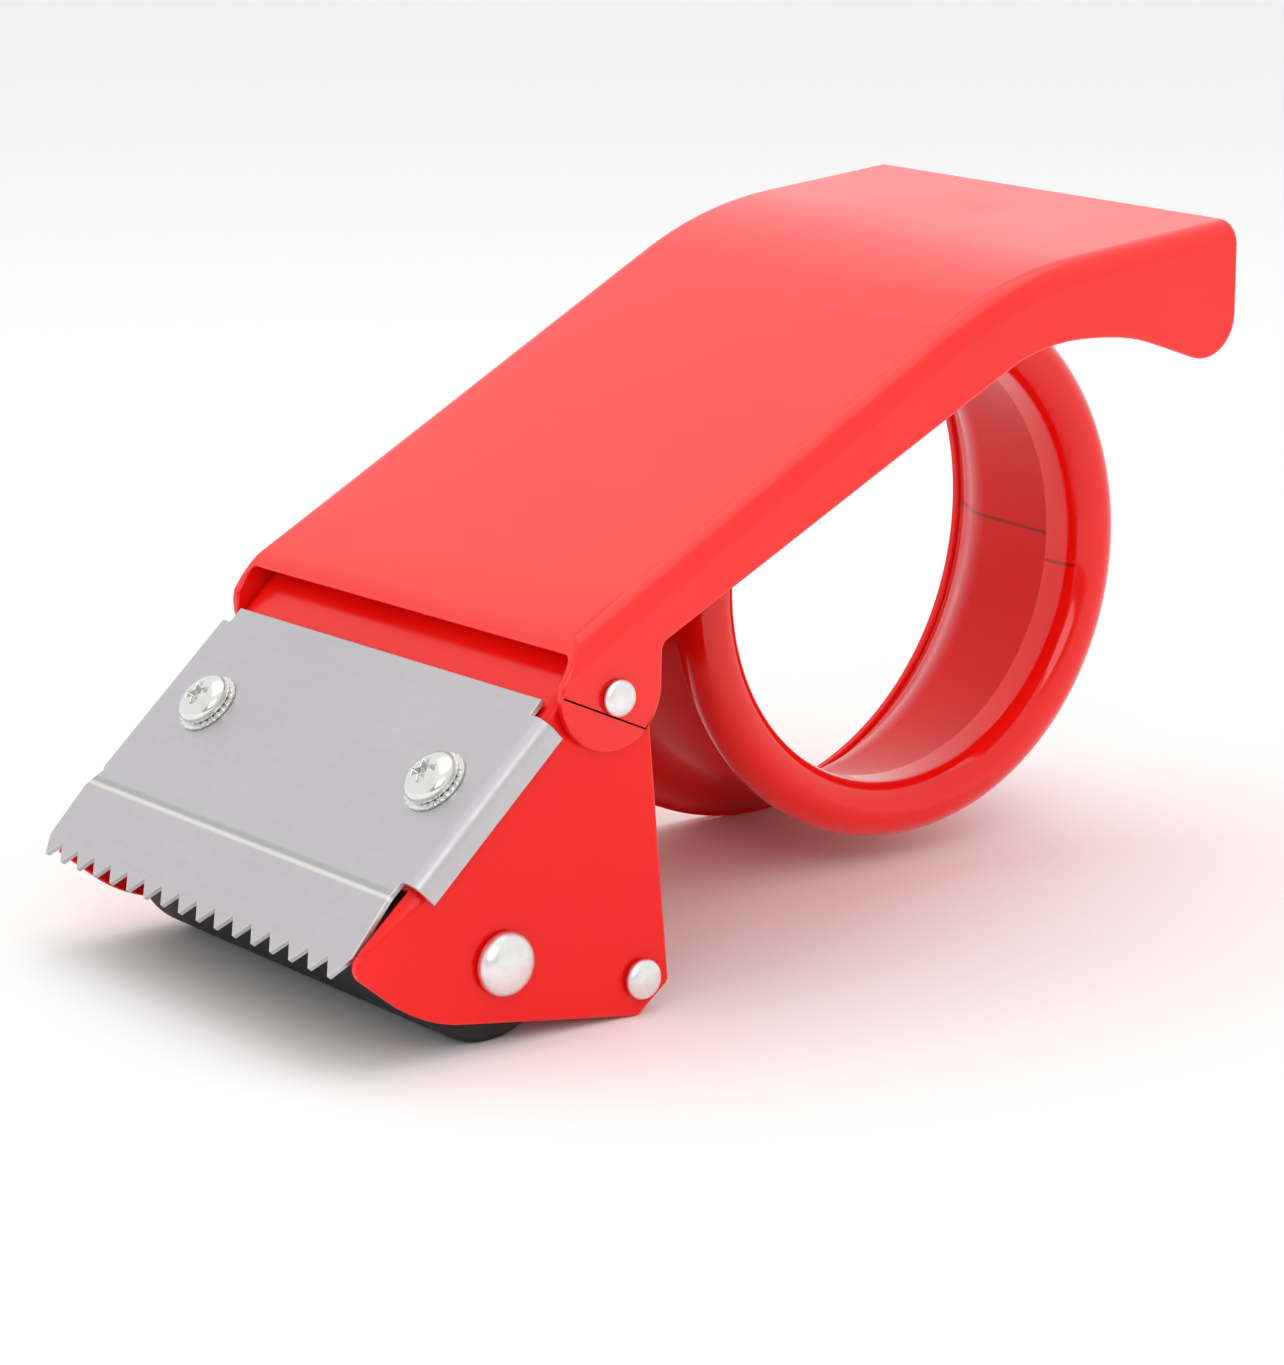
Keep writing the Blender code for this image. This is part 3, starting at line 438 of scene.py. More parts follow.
def combine(piece, tool, operation="DIFFERENCE"):
    """Apply an exact boolean and drop the tool."""
    modifier = piece.modifiers.new(tool.name, "BOOLEAN")
    modifier.operation = operation
    modifier.solver = "EXACT"
    modifier.object = tool
    bpy.context.view_layer.update()
    depsgraph = bpy.context.evaluated_depsgraph_get()
    mesh = bpy.data.meshes.new_from_object(piece.evaluated_get(depsgraph))
    piece.modifiers.clear()
    piece.data = mesh
    bpy.data.objects.remove(tool)


def rod(name, axis, radius, y_low, y_high, sides=72):
    """A round tool along Y."""
    outline = arc(axis, radius, 0.0, 2 * math.pi * (1 - 1 / sides), sides - 1)
    return link_mesh(prism(outline, y_low, y_high), name)


def front_rod(name, y, radius, n_low, n_high):
    """A round tool through the inclined front at a screw's place."""
    bm = bmesh.new()
    bmesh.ops.create_cone(
        bm, cap_ends=True, segments=48, radius1=radius, radius2=radius, depth=n_high - n_low
    )
    bmesh.ops.translate(bm, verts=bm.verts, vec=(0, 0, (n_high + n_low) / 2))
    tool = link_mesh(bm, name)
    tool.matrix_world = front_frame(y, 0.0)
    return tool


def turned(name, profile, axis, sides):
    """Turn a closed (radius, y) profile about the Y line through `axis` (x, z)."""
    bm = bmesh.new()
    rings = []
    for radius, y in profile:
        if radius < 1e-6:
            rings.append([bm.verts.new((0, y, 0))] * sides)
            continue
        ring = []
        for i in range(sides):
            angle = 2 * math.pi * i / sides
            ring.append(bm.verts.new((radius * math.cos(angle), y, radius * math.sin(angle))))
        rings.append(ring)
    closed = all(radius > 1e-6 for radius, _ in profile)
    last = len(rings) if closed else len(rings) - 1
    for k in range(last):
        a, b = rings[k], rings[(k + 1) % len(rings)]
        for i in range(sides):
            j = (i + 1) % sides
            bm.faces.new(list(dict.fromkeys([a[i], a[j], b[j], b[i]])))
    bmesh.ops.translate(bm, verts=bm.verts, vec=(axis[0], 0, axis[1]))
    return link_mesh(bm, name, (axis[0], 0, axis[1]))


def turned_on_front(name, profile, y, n, sides):
    """Turn a (radius, height) profile about the front's normal at a screw's place."""
    piece = turned(name, profile, (0.0, 0.0), sides)
    piece.matrix_world = front_frame(y, n) @ Matrix.Rotation(math.pi / 2, 4, "X")
    return piece


def finish(piece, body, material, slot, *nodes, edge=0.0, angle=35.0):
    """Clean, round the sharp edges, shade and hand the piece to its CAD body."""
    bm = bmesh.new()
    bm.from_mesh(piece.data)
    bmesh.ops.remove_doubles(bm, verts=bm.verts, dist=1e-6)
    bmesh.ops.dissolve_degenerate(bm, edges=bm.edges, dist=5e-7)
    bmesh.ops.recalc_face_normals(bm, faces=bm.faces)
    bm.to_mesh(piece.data)
    bm.free()
    if edge:
        modifier = piece.modifiers.new("edges", "BEVEL")
        modifier.width = edge * MM
        modifier.segments = 2
        modifier.limit_method = "ANGLE"
        modifier.angle_limit = math.radians(angle)
        modifier.use_clamp_overlap = False
        modifier.miter_outer = "MITER_SHARP"
    piece.data.shade_smooth()
    piece.data.set_sharp_from_angle(angle=math.radians(50))
    weighted = piece.modifiers.new("normals", "WEIGHTED_NORMAL")
    weighted.keep_sharp = True
    piece.data.materials.clear()
    piece.data.materials.append(material)
    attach(piece, body)
    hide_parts(*nodes)
    return piece


# ---- pressings ---------------------------------------------------------------------
def build_frame():
    outline, (web_low, web_top) = frame_outline()
    body = prism(outline, -FRAME_HALF_WIDTH, FRAME_HALF_WIDTH)
    fold_edges(body, (web_low, web_top), FRAME_HALF_WIDTH, FRAME_BEND)
    piece = link_mesh(body, "frame_pressing")
    arm = link_mesh(prism(arm_outline(), FRAME_HALF_WIDTH - SHEET, FRAME_HALF_WIDTH), "arm")
    combine(piece, arm, "UNION")

    web_back = -WEB_DEPTH - SHEET
    chain = (on_front(slope_of(web_top) - 9.0, web_back), on_front(WEB_END, web_back))
    hollow_outline = [
        *chain,
        on_front(WEB_END, 6.0),
        on_front(45.0, 6.0),
        (HEEL[0], -20.0),
        (-20.0, -20.0),
        (-20.0, 60.0),
    ]
    half = FRAME_HALF_WIDTH - SHEET
    hollow = prism(hollow_outline, -half, half)
    fold_edges(hollow, chain, half, FRAME_BEND - SHEET)
    combine(piece, link_mesh(hollow, "hollow"))
    wide = FRAME_HALF_WIDTH + 5
    combine(piece, rod("hole", PIVOT, PIVOT_PIN_RADIUS + GAP, -wide, wide))
    combine(piece, rod("hole", ROLLER_AXIS, AXLE_RADIUS + GAP, -wide, wide))
    combine(piece, rod("hole", GUIDE_AXIS, GUIDE_PIN_RADIUS + GAP, -wide, wide))
    combine(piece, rod("hole", HUB_AXIS, RING_HOLE, half - 5, wide, 160))
    combine(piece, link_mesh(prism(blade_clearance(), half - 0.5, wide), "over"))
    for y in SCREW_Y:
        combine(piece, front_rod("hole", y, SCREW_RADIUS + GAP, -8, 8))
    return piece


def cut_across(bm, half_width, count):
    """Cut the top into strips so that its twist shades smoothly."""
    for k in range(1, count):
        whole = list(bm.verts) + list(bm.edges) + list(bm.faces)
        y = -half_width + 2 * half_width * k / count
        bmesh.ops.bisect_plane(bm, geom=whole, plane_co=(0, y, 0), plane_no=(0, 1, 0))


def slice_along(piece, count):
    """Edges across the length of a piece, so that no flat side is one long polygon."""
    bm = bmesh.new()
    bm.from_mesh(piece.data)
    places = [vert.co.x for vert in bm.verts]
    low, high = min(places), max(places)
    for k in range(1, count):
        whole = list(bm.verts) + list(bm.edges) + list(bm.faces)
        x = low + (high - low) * k / count
        bmesh.ops.bisect_plane(bm, geom=whole, plane_co=(x, 0, 0), plane_no=(1, 0, 0))
    bm.to_mesh(piece.data)
    bm.free()


def build_handle():
    top = handle_top(0.0)
    low = rounded([
        (HANDLE_REAR_X, 68.0),
        FLANGE_LOBE,
        FLANGE_ARCH,
        EAR_REAR_TOP,
        (EAR_CENTRE[0] + EAR_RADIUS, EAR_CENTRE[1]),
        (EAR_CENTRE[0] - EAR_RADIUS, EAR_CENTRE[1]),
    ])
    ear = arc(EAR_CENTRE, EAR_RADIUS, 0.0, -math.pi * 1.06, 40)
    body = prism(top + low[1:-2] + ear, -HANDLE_HALF_WIDTH, HANDLE_HALF_WIDTH)
    fold_edges(body, top, HANDLE_HALF_WIDTH, HANDLE_FOLD)
    cut_across(body, HANDLE_HALF_WIDTH - HANDLE_FOLD, 14)
    lean_to_near_side(body)
    piece = link_mesh(body, "handle_pressing", (PIVOT[0], 0, PIVOT[1]))

    under = handle_top(SHEET)
    slope, rear = HANDLE_SLOPE, HANDLE_REAR_SLOPE
    under[0] = (under[0][0] - 12 * math.cos(slope), under[0][1] - 12 * math.sin(slope))
    under[-1] = (under[-1][0] + 12 * math.cos(rear), under[-1][1] + 12 * math.sin(rear))
    half = HANDLE_HALF_WIDTH - SHEET
    hollow = prism([*under, (under[-1][0], 0.0), (under[0][0], 0.0)], -half, half)
    fold_edges(hollow, under, half, HANDLE_FOLD - SHEET - INNER_FOLD_EASE)
    cut_across(hollow, HANDLE_HALF_WIDTH - HANDLE_FOLD, 14)
    lean_to_near_side(hollow)
    combine(piece, link_mesh(hollow, "hollow"))
    wide = HANDLE_HALF_WIDTH + 5
    combine(piece, rod("hole", PIVOT, PIVOT_PIN_RADIUS + GAP, -wide, wide))
    slice_along(piece, HANDLE_SLICES)
    return piece


def build_cutter():
    bm = bmesh.new()
    face = bm.faces.new([bm.verts.new((s, y, 0.0)) for s, y in cutter_outline()])
    swept = bmesh.ops.extrude_face_region(bm, geom=[face])
    lower = [item for item in swept["geom"] if isinstance(item, bmesh.types.BMVert)]
    bmesh.ops.translate(bm, verts=lower, vec=(0, 0, -BLADE_SHEET))
    for s in (CREASE - 0.25, CREASE, CREASE + 0.25):
        whole = list(bm.verts) + list(bm.edges) + list(bm.faces)
        bmesh.ops.bisect_plane(bm, geom=whole, plane_co=(s, 0, 0), plane_no=(1, 0, 0))

    edge = FOLD_HALF_WIDTH - FOLD_RADIUS
    for side in (-1, 1):
        faces = []
        for item in bm.faces:
            centre = item.calc_center_median()
            if abs(centre.y - side * edge) < 1e-4:
                faces.append(item)
        centre = Vector((0, side * edge, -FOLD_RADIUS))
        steps = 10
        turn = Matrix.Rotation(-side * math.pi / 2 / steps, 3, "X")
        for _ in range(steps):
            faces = extrude_faces(bm, faces)
            verts = {vert for item in faces for vert in item.verts}
            bmesh.ops.rotate(bm, verts=list(verts), cent=centre, matrix=turn)
        faces = extrude_faces(bm, faces)
        verts = {vert for item in faces for vert in item.verts}
        bmesh.ops.translate(bm, verts=list(verts), vec=(0, 0, FOLD_RADIUS - FOLD_DEPTH))
    for vert in bm.verts:
        bend_into_place(vert)
    piece = link_mesh(bm, "cutter_stamping")
    for y in SCREW_Y:
        combine(piece, front_rod("hole", y, SCREW_RADIUS + GAP, -8, 8))
    return piece


# ---- hub ---------------------------------------------------------------------------
def ease(a, corner, b, steps):
    """Points of a smooth bend from a to b, pulled towards the corner."""
    points = []
    for k in range(steps + 1):
        t = k / steps
        points.append(tuple(
            a[i] * (1 - t) ** 2 + 2 * corner[i] * t * (1 - t) + b[i] * t ** 2 for i in (0, 1)
        ))
    return points


def build_hub_tube():
    face_y = FRAME_HALF_WIDTH - SHEET - GAP
    neck = (TUBE_NECK_RADIUS, TUBE_NECK_Y)
    end = (TUBE_FLARE_END[1], TUBE_FLARE_END[0])
    slope_near = (TUBE_NECK_RADIUS - TUBE_NEAR_RADIUS) / (TUBE_NECK_Y - TUBE_NEAR_Y)
    slope_far = (end[0] - neck[0]) / (end[1] - neck[1])
    path = [(TUBE_NEAR_RADIUS, TUBE_NEAR_Y)]
    path += ease(
        (neck[0] - 2.4 * slope_near, neck[1] - 2.4), neck,
        (neck[0] + 2.4 * slope_far, neck[1] + 2.4), 8,
    )
    path += ease(
        (end[0] - 1.2 * slope_far, end[1] - 1.2), (end[0] + 0.35, face_y - 0.35),
        (TUBE_LIP_RADIUS + 0.5, face_y), 8,
    )
    profile = thick_line(path, TUBE_SHEET, 1)
    return turned("hub_cone", profile, HUB_AXIS, 224)


def build_hub_rim():
    """A short collar inside the tube, curled outward into a round bead."""
    collar = RIM_BEAD_RADIUS - RIM_BEAD_SIZE
    outer = [(collar + 0.18, RIM_COLLAR_END), (collar, RIM_COLLAR_END - 0.22)]
    inner = [(collar + RIM_SHEET, RIM_COLLAR_END)]
    steps = 34
    for k in range(steps + 1):
        angle = math.pi + RIM_CURL * k / steps
        for side, size in ((outer, RIM_BEAD_SIZE), (inner, RIM_BEAD_SIZE - RIM_SHEET)):
            side.append((RIM_BEAD_RADIUS + size * math.cos(angle), size * math.sin(angle)))
    return turned("hub_curled_rim", outer + inner[::-1], HUB_AXIS, 224)


# ---- fasteners and roller ----------------------------------------------------------
def build_rivet(name, axis, shank, head, height, seat_y):
    """Through rivet with a domed head whose foot is slightly undercut on each side."""
    dome = [(head - 0.12, seat_y), (head, seat_y + 0.12)]
    for k in range(14):
        angle = math.pi / 2 * k / 14
        dome.append((head * math.cos(angle), seat_y + 0.25 + (height - 0.25) * math.sin(angle)))
    half = [(shank, seat_y), *dome, (0.0, seat_y + height)]
    mirrored = [(radius, -y) for radius, y in reversed(half)]
    return turned(name, mirrored + half, axis, 72)


def build_screw(label, y):
    """Pan-head screw with a tapered cross recess."""
    seat = WASHER_THICKNESS
    profile = [(0.0, -SCREW_LENGTH), (SCREW_RADIUS - 0.3, -SCREW_LENGTH)]
    low = -SCREW_LENGTH + 0.4
    turns = int((-0.6 - low) / THREAD_PITCH)
    for k in range(turns):
        profile.append((SCREW_RADIUS, low + THREAD_PITCH * k))
        profile.append((SCREW_RADIUS - THREAD_DEPTH, low + THREAD_PITCH * (k + 0.5)))
    profile += [(SCREW_RADIUS, low + THREAD_PITCH * turns), (SCREW_RADIUS, 0.0)]
    profile += [(SCREW_HEAD_RADIUS - 0.15, 0.0), (SCREW_HEAD_RADIUS, 0.15)]
    for k in range(12):
        angle = math.pi / 2 * k / 12
        radius = SCREW_HEAD_RADIUS * math.cos(angle) ** 0.8
        profile.append((radius, 0.5 + (HEAD_CROWN - 0.5) * math.sin(angle)))
    profile.append((0.0, HEAD_CROWN))
    piece = turned_on_front(label + "_pan_head_screw", profile, y, seat, 72)
    for index in range(2):
        bm = bmesh.new()
        bmesh.ops.create_cube(bm, size=1.0)
        bmesh.ops.scale(bm, verts=bm.verts, vec=RECESS)
        bottom = [vert for vert in bm.verts if vert.co.z < 0]
        bmesh.ops.scale(bm, verts=bottom, vec=(0.5, 0.7, 1.0))
        turn = Matrix.Rotation(RECESS_TURN + math.radians(90 * index), 3, "Z")
        bmesh.ops.rotate(bm, verts=bm.verts, cent=(0, 0, 0), matrix=turn)
        tool = link_mesh(bm, "recess")
        tool.matrix_world = front_frame(y, seat + HEAD_CROWN + 0.3)
        combine(piece, tool)
    return piece


def build_washer(label, y):
    """Spring washer with a ring of shallow serrations round its top."""
    bore = SCREW_RADIUS + GAP
    sides = WASHER_TEETH * 4
    bm = bmesh.new()
    rings = []
    for radius, height, wave in (
        (bore, 0.0, 0.0), (WASHER_RADIUS - 0.1, 0.0, 0.0), (WASHER_RADIUS, 0.1, 0.0),
        (WASHER_RADIUS, WASHER_THICKNESS - 0.1, 0.1), (WASHER_RADIUS - 0.7, WASHER_THICKNESS, 0.1),
        (bore, WASHER_THICKNESS, 0.0),
    ):
        ring = []
        for i in range(sides):
            angle = 2 * math.pi * i / sides
            notch = wave if i % 4 == 0 else 0.0
            ring.append(bm.verts.new((
                (radius - notch) * math.cos(angle), height - notch, (radius - notch) * math.sin(angle)
            )))
        rings.append(ring)
    for k, ring in enumerate(rings):
        after = rings[(k + 1) % len(rings)]
        for i in range(sides):
            j = (i + 1) % sides
            bm.faces.new((ring[i], ring[j], after[j], after[i]))
    piece = link_mesh(bm, label + "_serrated_washer")
    piece.matrix_world = front_frame(y, 0.0) @ Matrix.Rotation(math.pi / 2, 4, "X")
    return piece


def build_roller():
    half = ROLLER_HALF_LENGTH
    ends = [(RUBBER_BORE, -half), (ROLLER_RADIUS - 0.7, -half)]
    for k in range(7):
        angle = math.pi / 2 * k / 6
        ends.append((
            ROLLER_RADIUS - 0.6 + 0.6 * math.sin(angle), -half + 0.6 - 0.6 * math.cos(angle)
        ))
    profile = ends + [(radius, -y) for radius, y in reversed(ends)]
    return turned("ground_rubber_roller", profile, ROLLER_AXIS, 144)


# ---- materials ---------------------------------------------------------------------
def put(tree, kind, inputs=None, **settings):
    """Add a node, set its options, and set or link its inputs."""
    node = tree.nodes.new(kind)
    for key, value in settings.items():
        setattr(node, key, value)
    for key, value in (inputs or {}).items():
        if isinstance(value, bpy.types.NodeSocket):
            tree.links.new(value, node.inputs[key])
        else:
            node.inputs[key].default_value = value
    return node


def start_material(name):
    material = bpy.data.materials.new(name)
    material.use_nodes = True
    tree = material.node_tree
    place = put(tree, "ShaderNodeTexCoord").outputs["Object"]
    return material, tree, tree.nodes["Principled BSDF"], place


def noise(tree, place, scale, detail=2.0, rough=0.5):
    inputs = {"Vector": place, "Scale": scale, "Detail": detail, "Roughness": rough}
    return put(tree, "ShaderNodeTexNoise", inputs).outputs["Fac"]


def spread(tree, value, low, high, to_low, to_high):
    """Map value from one range to another, clamped."""
    inputs = {0: value, 1: low, 2: high, 3: to_low, 4: to_high}
    return put(tree, "ShaderNodeMapRange", inputs).outputs[0]


def blend_colours(tree, factor, a, b):
    return put(tree, "ShaderNodeMix", {0: factor, 6: a, 7: b}, data_type="RGBA").outputs[2]


def maths(tree, operation, a, b):
    return put(tree, "ShaderNodeMath", {0: a, 1: b}, operation=operation).outputs[0]


def edge_mask(tree, radius):
    """One on sharp edges, nought on flat faces."""
    rounded_normal = put(tree, "ShaderNodeBevel", {"Radius": radius}, samples=4).outputs[0]
    true_normal = put(tree, "ShaderNodeNewGeometry").outputs["Normal"]
    dot = put(
        tree, "ShaderNodeVectorMath", {0: rounded_normal, 1: true_normal}, operation="DOT_PRODUCT"
    ).outputs["Value"]
    return spread(tree, dot, 0.98, 0.86, 0.0, 1.0)


def seam(tree, place, angle, half_width, reach):
    """A straight joint along the hub: a mask round one angle, inside one radius."""
    parts = put(tree, "ShaderNodeSeparateXYZ", {0: place}).outputs
    around = maths(tree, "ARCTAN2", parts["Z"], parts["X"])
    away = maths(tree, "ABSOLUTE", maths(tree, "SUBTRACT", around, math.radians(angle)), 0.0)
    flat = put(tree, "ShaderNodeVectorMath", {0: place, 1: (1.0, 0.0, 1.0)}, operation="MULTIPLY")
    radius = put(
        tree, "ShaderNodeVectorMath", {0: flat.outputs[0]}, operation="LENGTH"
    ).outputs["Value"]
    within = spread(tree, radius, reach, reach - 0.0002, 0.0, 1.0)
    return maths(tree, "MULTIPLY", spread(tree, away, half_width, 0.0, 0.0, 1.0), within)


def band(tree, value, middle, half_width):
    """One at the middle value, falling to nought at half_width either side."""
    away = maths(tree, "ABSOLUTE", maths(tree, "SUBTRACT", value, middle), 0.0)
    return spread(tree, away, half_width, 0.3 * half_width, 0.0, 1.0)


def red_enamel(name, deep, bright, roughness, joint=None, reach=1.0, coat=0.15, specular=0.5):
    material, tree, shader, place = start_material(name)
    cloud = spread(tree, noise(tree, place, 26.0, 3.0), 0.35, 0.65, 0.0, 1.0)
    colour = blend_colours(tree, cloud, deep, bright)
    grain = noise(tree, place, 5200.0, 3.0)
    # Lighter red along sharp edges: partly paint wear, partly a painted highlight.
    edge_wear_and_highlight = maths(tree, "MULTIPLY", edge_mask(tree, 0.00035), spread(
        tree, noise(tree, place, 420.0, 4.0), 0.42, 0.66, 0.10, 0.55
    ))
    colour = blend_colours(tree, edge_wear_and_highlight, colour, (0.93, 0.10, 0.075, 1.0))
    specks = put(
        tree, "ShaderNodeTexVoronoi", {"Vector": place, "Scale": 46.0, "Randomness": 1.0}
    ).outputs["Distance"]
    dust = spread(tree, specks, 0.011, 0.006, 0.0, 0.7)
    colour = blend_colours(tree, dust, colour, (0.10, 0.012, 0.012, 1.0))
    peel = noise(tree, place, 640.0, 2.0, 0.4)
    height = maths(tree, "ADD", maths(tree, "MULTIPLY", peel, 1.0), maths(
        tree, "MULTIPLY", grain, 0.06
    ))
    if joint:
        line = seam(tree, place, joint, SEAM_HALF_WIDTH, reach)
        colour = blend_colours(tree, maths(tree, "MULTIPLY", line, 0.75), colour,
                               (0.10, 0.008, 0.008, 1.0))
        height = maths(tree, "SUBTRACT", height, maths(tree, "MULTIPLY", line, 3.0))
    bump = put(tree, "ShaderNodeBump", {"Height": height, "Strength": 0.10, "Distance": 0.00006})
    tree.links.new(colour, shader.inputs["Base Color"])
    smear = spread(tree, noise(tree, place, 70.0, 4.0), 0.3, 0.7, -0.05, 0.06)
    tree.links.new(maths(tree, "ADD", smear, roughness), shader.inputs["Roughness"])
    tree.links.new(bump.outputs[0], shader.inputs["Normal"])
    shader.inputs["Specular IOR Level"].default_value = specular
    shader.inputs["Coat Weight"].default_value = coat
    shader.inputs["Coat Roughness"].default_value = 0.06
    return material


def stamped_steel():
    """Satin stainless sheet, brushed across, with a painted highlight at the crease, painted shade
    just above it and painted highlights along its edges.
    """
    material, tree, shader, place = start_material("satin_stainless")
    along = put(tree, "ShaderNodeMapping", {"Vector": place, "Scale": (1.0, 0.035, 1.0)})
    brushing = noise(tree, along.outputs[0], 2600.0, 4.0, 0.6)
    mottle = noise(tree, place, 900.0, 3.0)
    cloud = spread(tree, noise(tree, place, 30.0, 3.0), 0.3, 0.7, 0.0, 1.0)
    colour = blend_colours(tree, cloud, (0.55, 0.535, 0.555, 1.0), (0.60, 0.585, 0.60, 1.0))
    streaks = spread(tree, brushing, 0.35, 0.7, 0.0, 0.16)
    colour = blend_colours(tree, streaks, colour, (0.46, 0.45, 0.46, 1.0))
    down = put(
        tree, "ShaderNodeVectorMath", {0: place, 1: (DOWN_SLOPE[0], 0.0, DOWN_SLOPE[1])},
        operation="DOT_PRODUCT",
    ).outputs["Value"]
    top = (FRONT_TOP[0] * DOWN_SLOPE[0] + FRONT_TOP[1] * DOWN_SLOPE[1]) * MM
    slope = maths(tree, "SUBTRACT", down, top)
    # Painted shade in a band just above the crease, then a painted highlight along the crease itself.
    shade = band(tree, slope, (CREASE - 0.55) * MM, 0.45 * MM)
    colour = blend_colours(tree, maths(tree, "MULTIPLY", shade, 0.55), colour,
                           (0.36, 0.40, 0.38, 1.0))
    painted_crease_highlight = band(tree, slope, CREASE * MM, 0.32 * MM)
    colour = blend_colours(tree, maths(tree, "MULTIPLY", painted_crease_highlight, 0.65), colour,
                           (0.92, 0.88, 0.83, 1.0))
    # Painted highlight: the colour is lightened along the sharp edges.
    edges = maths(tree, "MULTIPLY", edge_mask(tree, 0.00022), 0.75)
    colour = blend_colours(tree, edges, colour, (0.86, 0.84, 0.80, 1.0))
    height = maths(tree, "ADD", maths(tree, "MULTIPLY", brushing, 0.6), maths(
        tree, "MULTIPLY", mottle, 0.5
    ))
    bump = put(tree, "ShaderNodeBump", {"Height": height, "Strength": 0.12, "Distance": 0.00004})
    tree.links.new(colour, shader.inputs["Base Color"])
    tree.links.new(spread(tree, mottle, 0.3, 0.7, 0.34, 0.46), shader.inputs["Roughness"])
    tree.links.new(bump.outputs[0], shader.inputs["Normal"])
    shader.inputs["Metallic"].default_value = 0.92
    return material


def plated(name, colour, roughness, scale):
    """Plated or drawn metal with small tarnish spots, tool marks and a painted highlight along its
    edges.
    """
    material, tree, shader, place = start_material(name)
    spots = spread(tree, noise(tree, place, scale, 4.0, 0.6), 0.48, 0.66, 0.0, 0.14)
    dull = tuple(0.55 * part for part in colour[:3]) + (1.0,)
    shade = blend_colours(tree, spots, colour, dull)
    # Painted highlight: the colour is lightened along sharp edges.
    shade = blend_colours(
        tree, maths(tree, "MULTIPLY", edge_mask(tree, 0.0002), 0.5), shade, (0.95, 0.95, 0.93, 1.0)
    )
    marks = noise(tree, place, scale * 4.0, 3.0)
    bump = put(tree, "ShaderNodeBump", {"Height": marks, "Strength": 0.12, "Distance": 0.00004})
    tree.links.new(shade, shader.inputs["Base Color"])
    tree.links.new(spread(tree, spots, 0.0, 0.14, roughness, roughness + 0.06),
                   shader.inputs["Roughness"])
    tree.links.new(bump.outputs[0], shader.inputs["Normal"])
    shader.inputs["Metallic"].default_value = 1.0
    return material


def ground_rubber():
    material, tree, shader, place = start_material("ground_rubber")
    parts = put(tree, "ShaderNodeSeparateXYZ", {0: place}).outputs
    rings = maths(tree, "SINE", maths(tree, "MULTIPLY", parts["Y"], 9000.0), 0.0)
    grit = noise(tree, place, 3800.0, 4.0, 0.7)
    dust = spread(tree, noise(tree, place, 160.0, 4.0), 0.45, 0.75, 0.0, 0.4)
    colour = blend_colours(tree, dust, (0.007, 0.007, 0.0075, 1.0), (0.03, 0.029, 0.028, 1.0))
    height = maths(tree, "ADD", maths(tree, "MULTIPLY", rings, 0.25), grit)
    bump = put(tree, "ShaderNodeBump", {"Height": height, "Strength": 0.35, "Distance": 0.00006})
    tree.links.new(colour, shader.inputs["Base Color"])
    tree.links.new(spread(tree, grit, 0.2, 0.8, 0.50, 0.72), shader.inputs["Roughness"])
    tree.links.new(bump.outputs[0], shader.inputs["Normal"])
    return material


def moulded_nylon():
    material, tree, shader, place = start_material("moulded_nylon")
    cloud = noise(tree, place, 120.0, 3.0)
    colour = blend_colours(tree, cloud, (0.70, 0.69, 0.64, 1.0), (0.80, 0.79, 0.75, 1.0))
    texture = noise(tree, place, 2600.0, 3.0)
    bump = put(tree, "ShaderNodeBump", {"Height": texture, "Strength": 0.15, "Distance": 0.00004})
    tree.links.new(colour, shader.inputs["Base Color"])
    tree.links.new(spread(tree, texture, 0.3, 0.7, 0.38, 0.50), shader.inputs["Roughness"])
    tree.links.new(bump.outputs[0], shader.inputs["Normal"])
    shader.inputs["Subsurface Weight"].default_value = 0.15
    shader.inputs["Subsurface Radius"].default_value = (0.0006, 0.0005, 0.0004)
    return material


def floor_paint():
    material, tree, shader, place = start_material("pale_floor")
    cloud = noise(tree, place, 3.0, 2.0)
    colour = blend_colours(tree, cloud, (0.95, 0.95, 0.95, 1.0), (0.97, 0.97, 0.97, 1.0))
    tree.links.new(colour, shader.inputs["Base Color"])
    shader.inputs["Roughness"].default_value = 0.7
    return material


# ---- studio ------------------------------------------------------------------------
def area_light(name, place, aim, size, power):
    lamp = bpy.data.lights.new(name, "AREA")
    lamp.shape = "RECTANGLE"
    lamp.size, lamp.size_y = size
    lamp.energy = power
    holder = bpy.data.objects.new(name, lamp)
    holder.location = place
    holder.rotation_euler = (Vector(place) - Vector(aim)).to_track_quat("Z", "Y").to_euler()
    bpy.context.scene.collection.objects.link(holder)


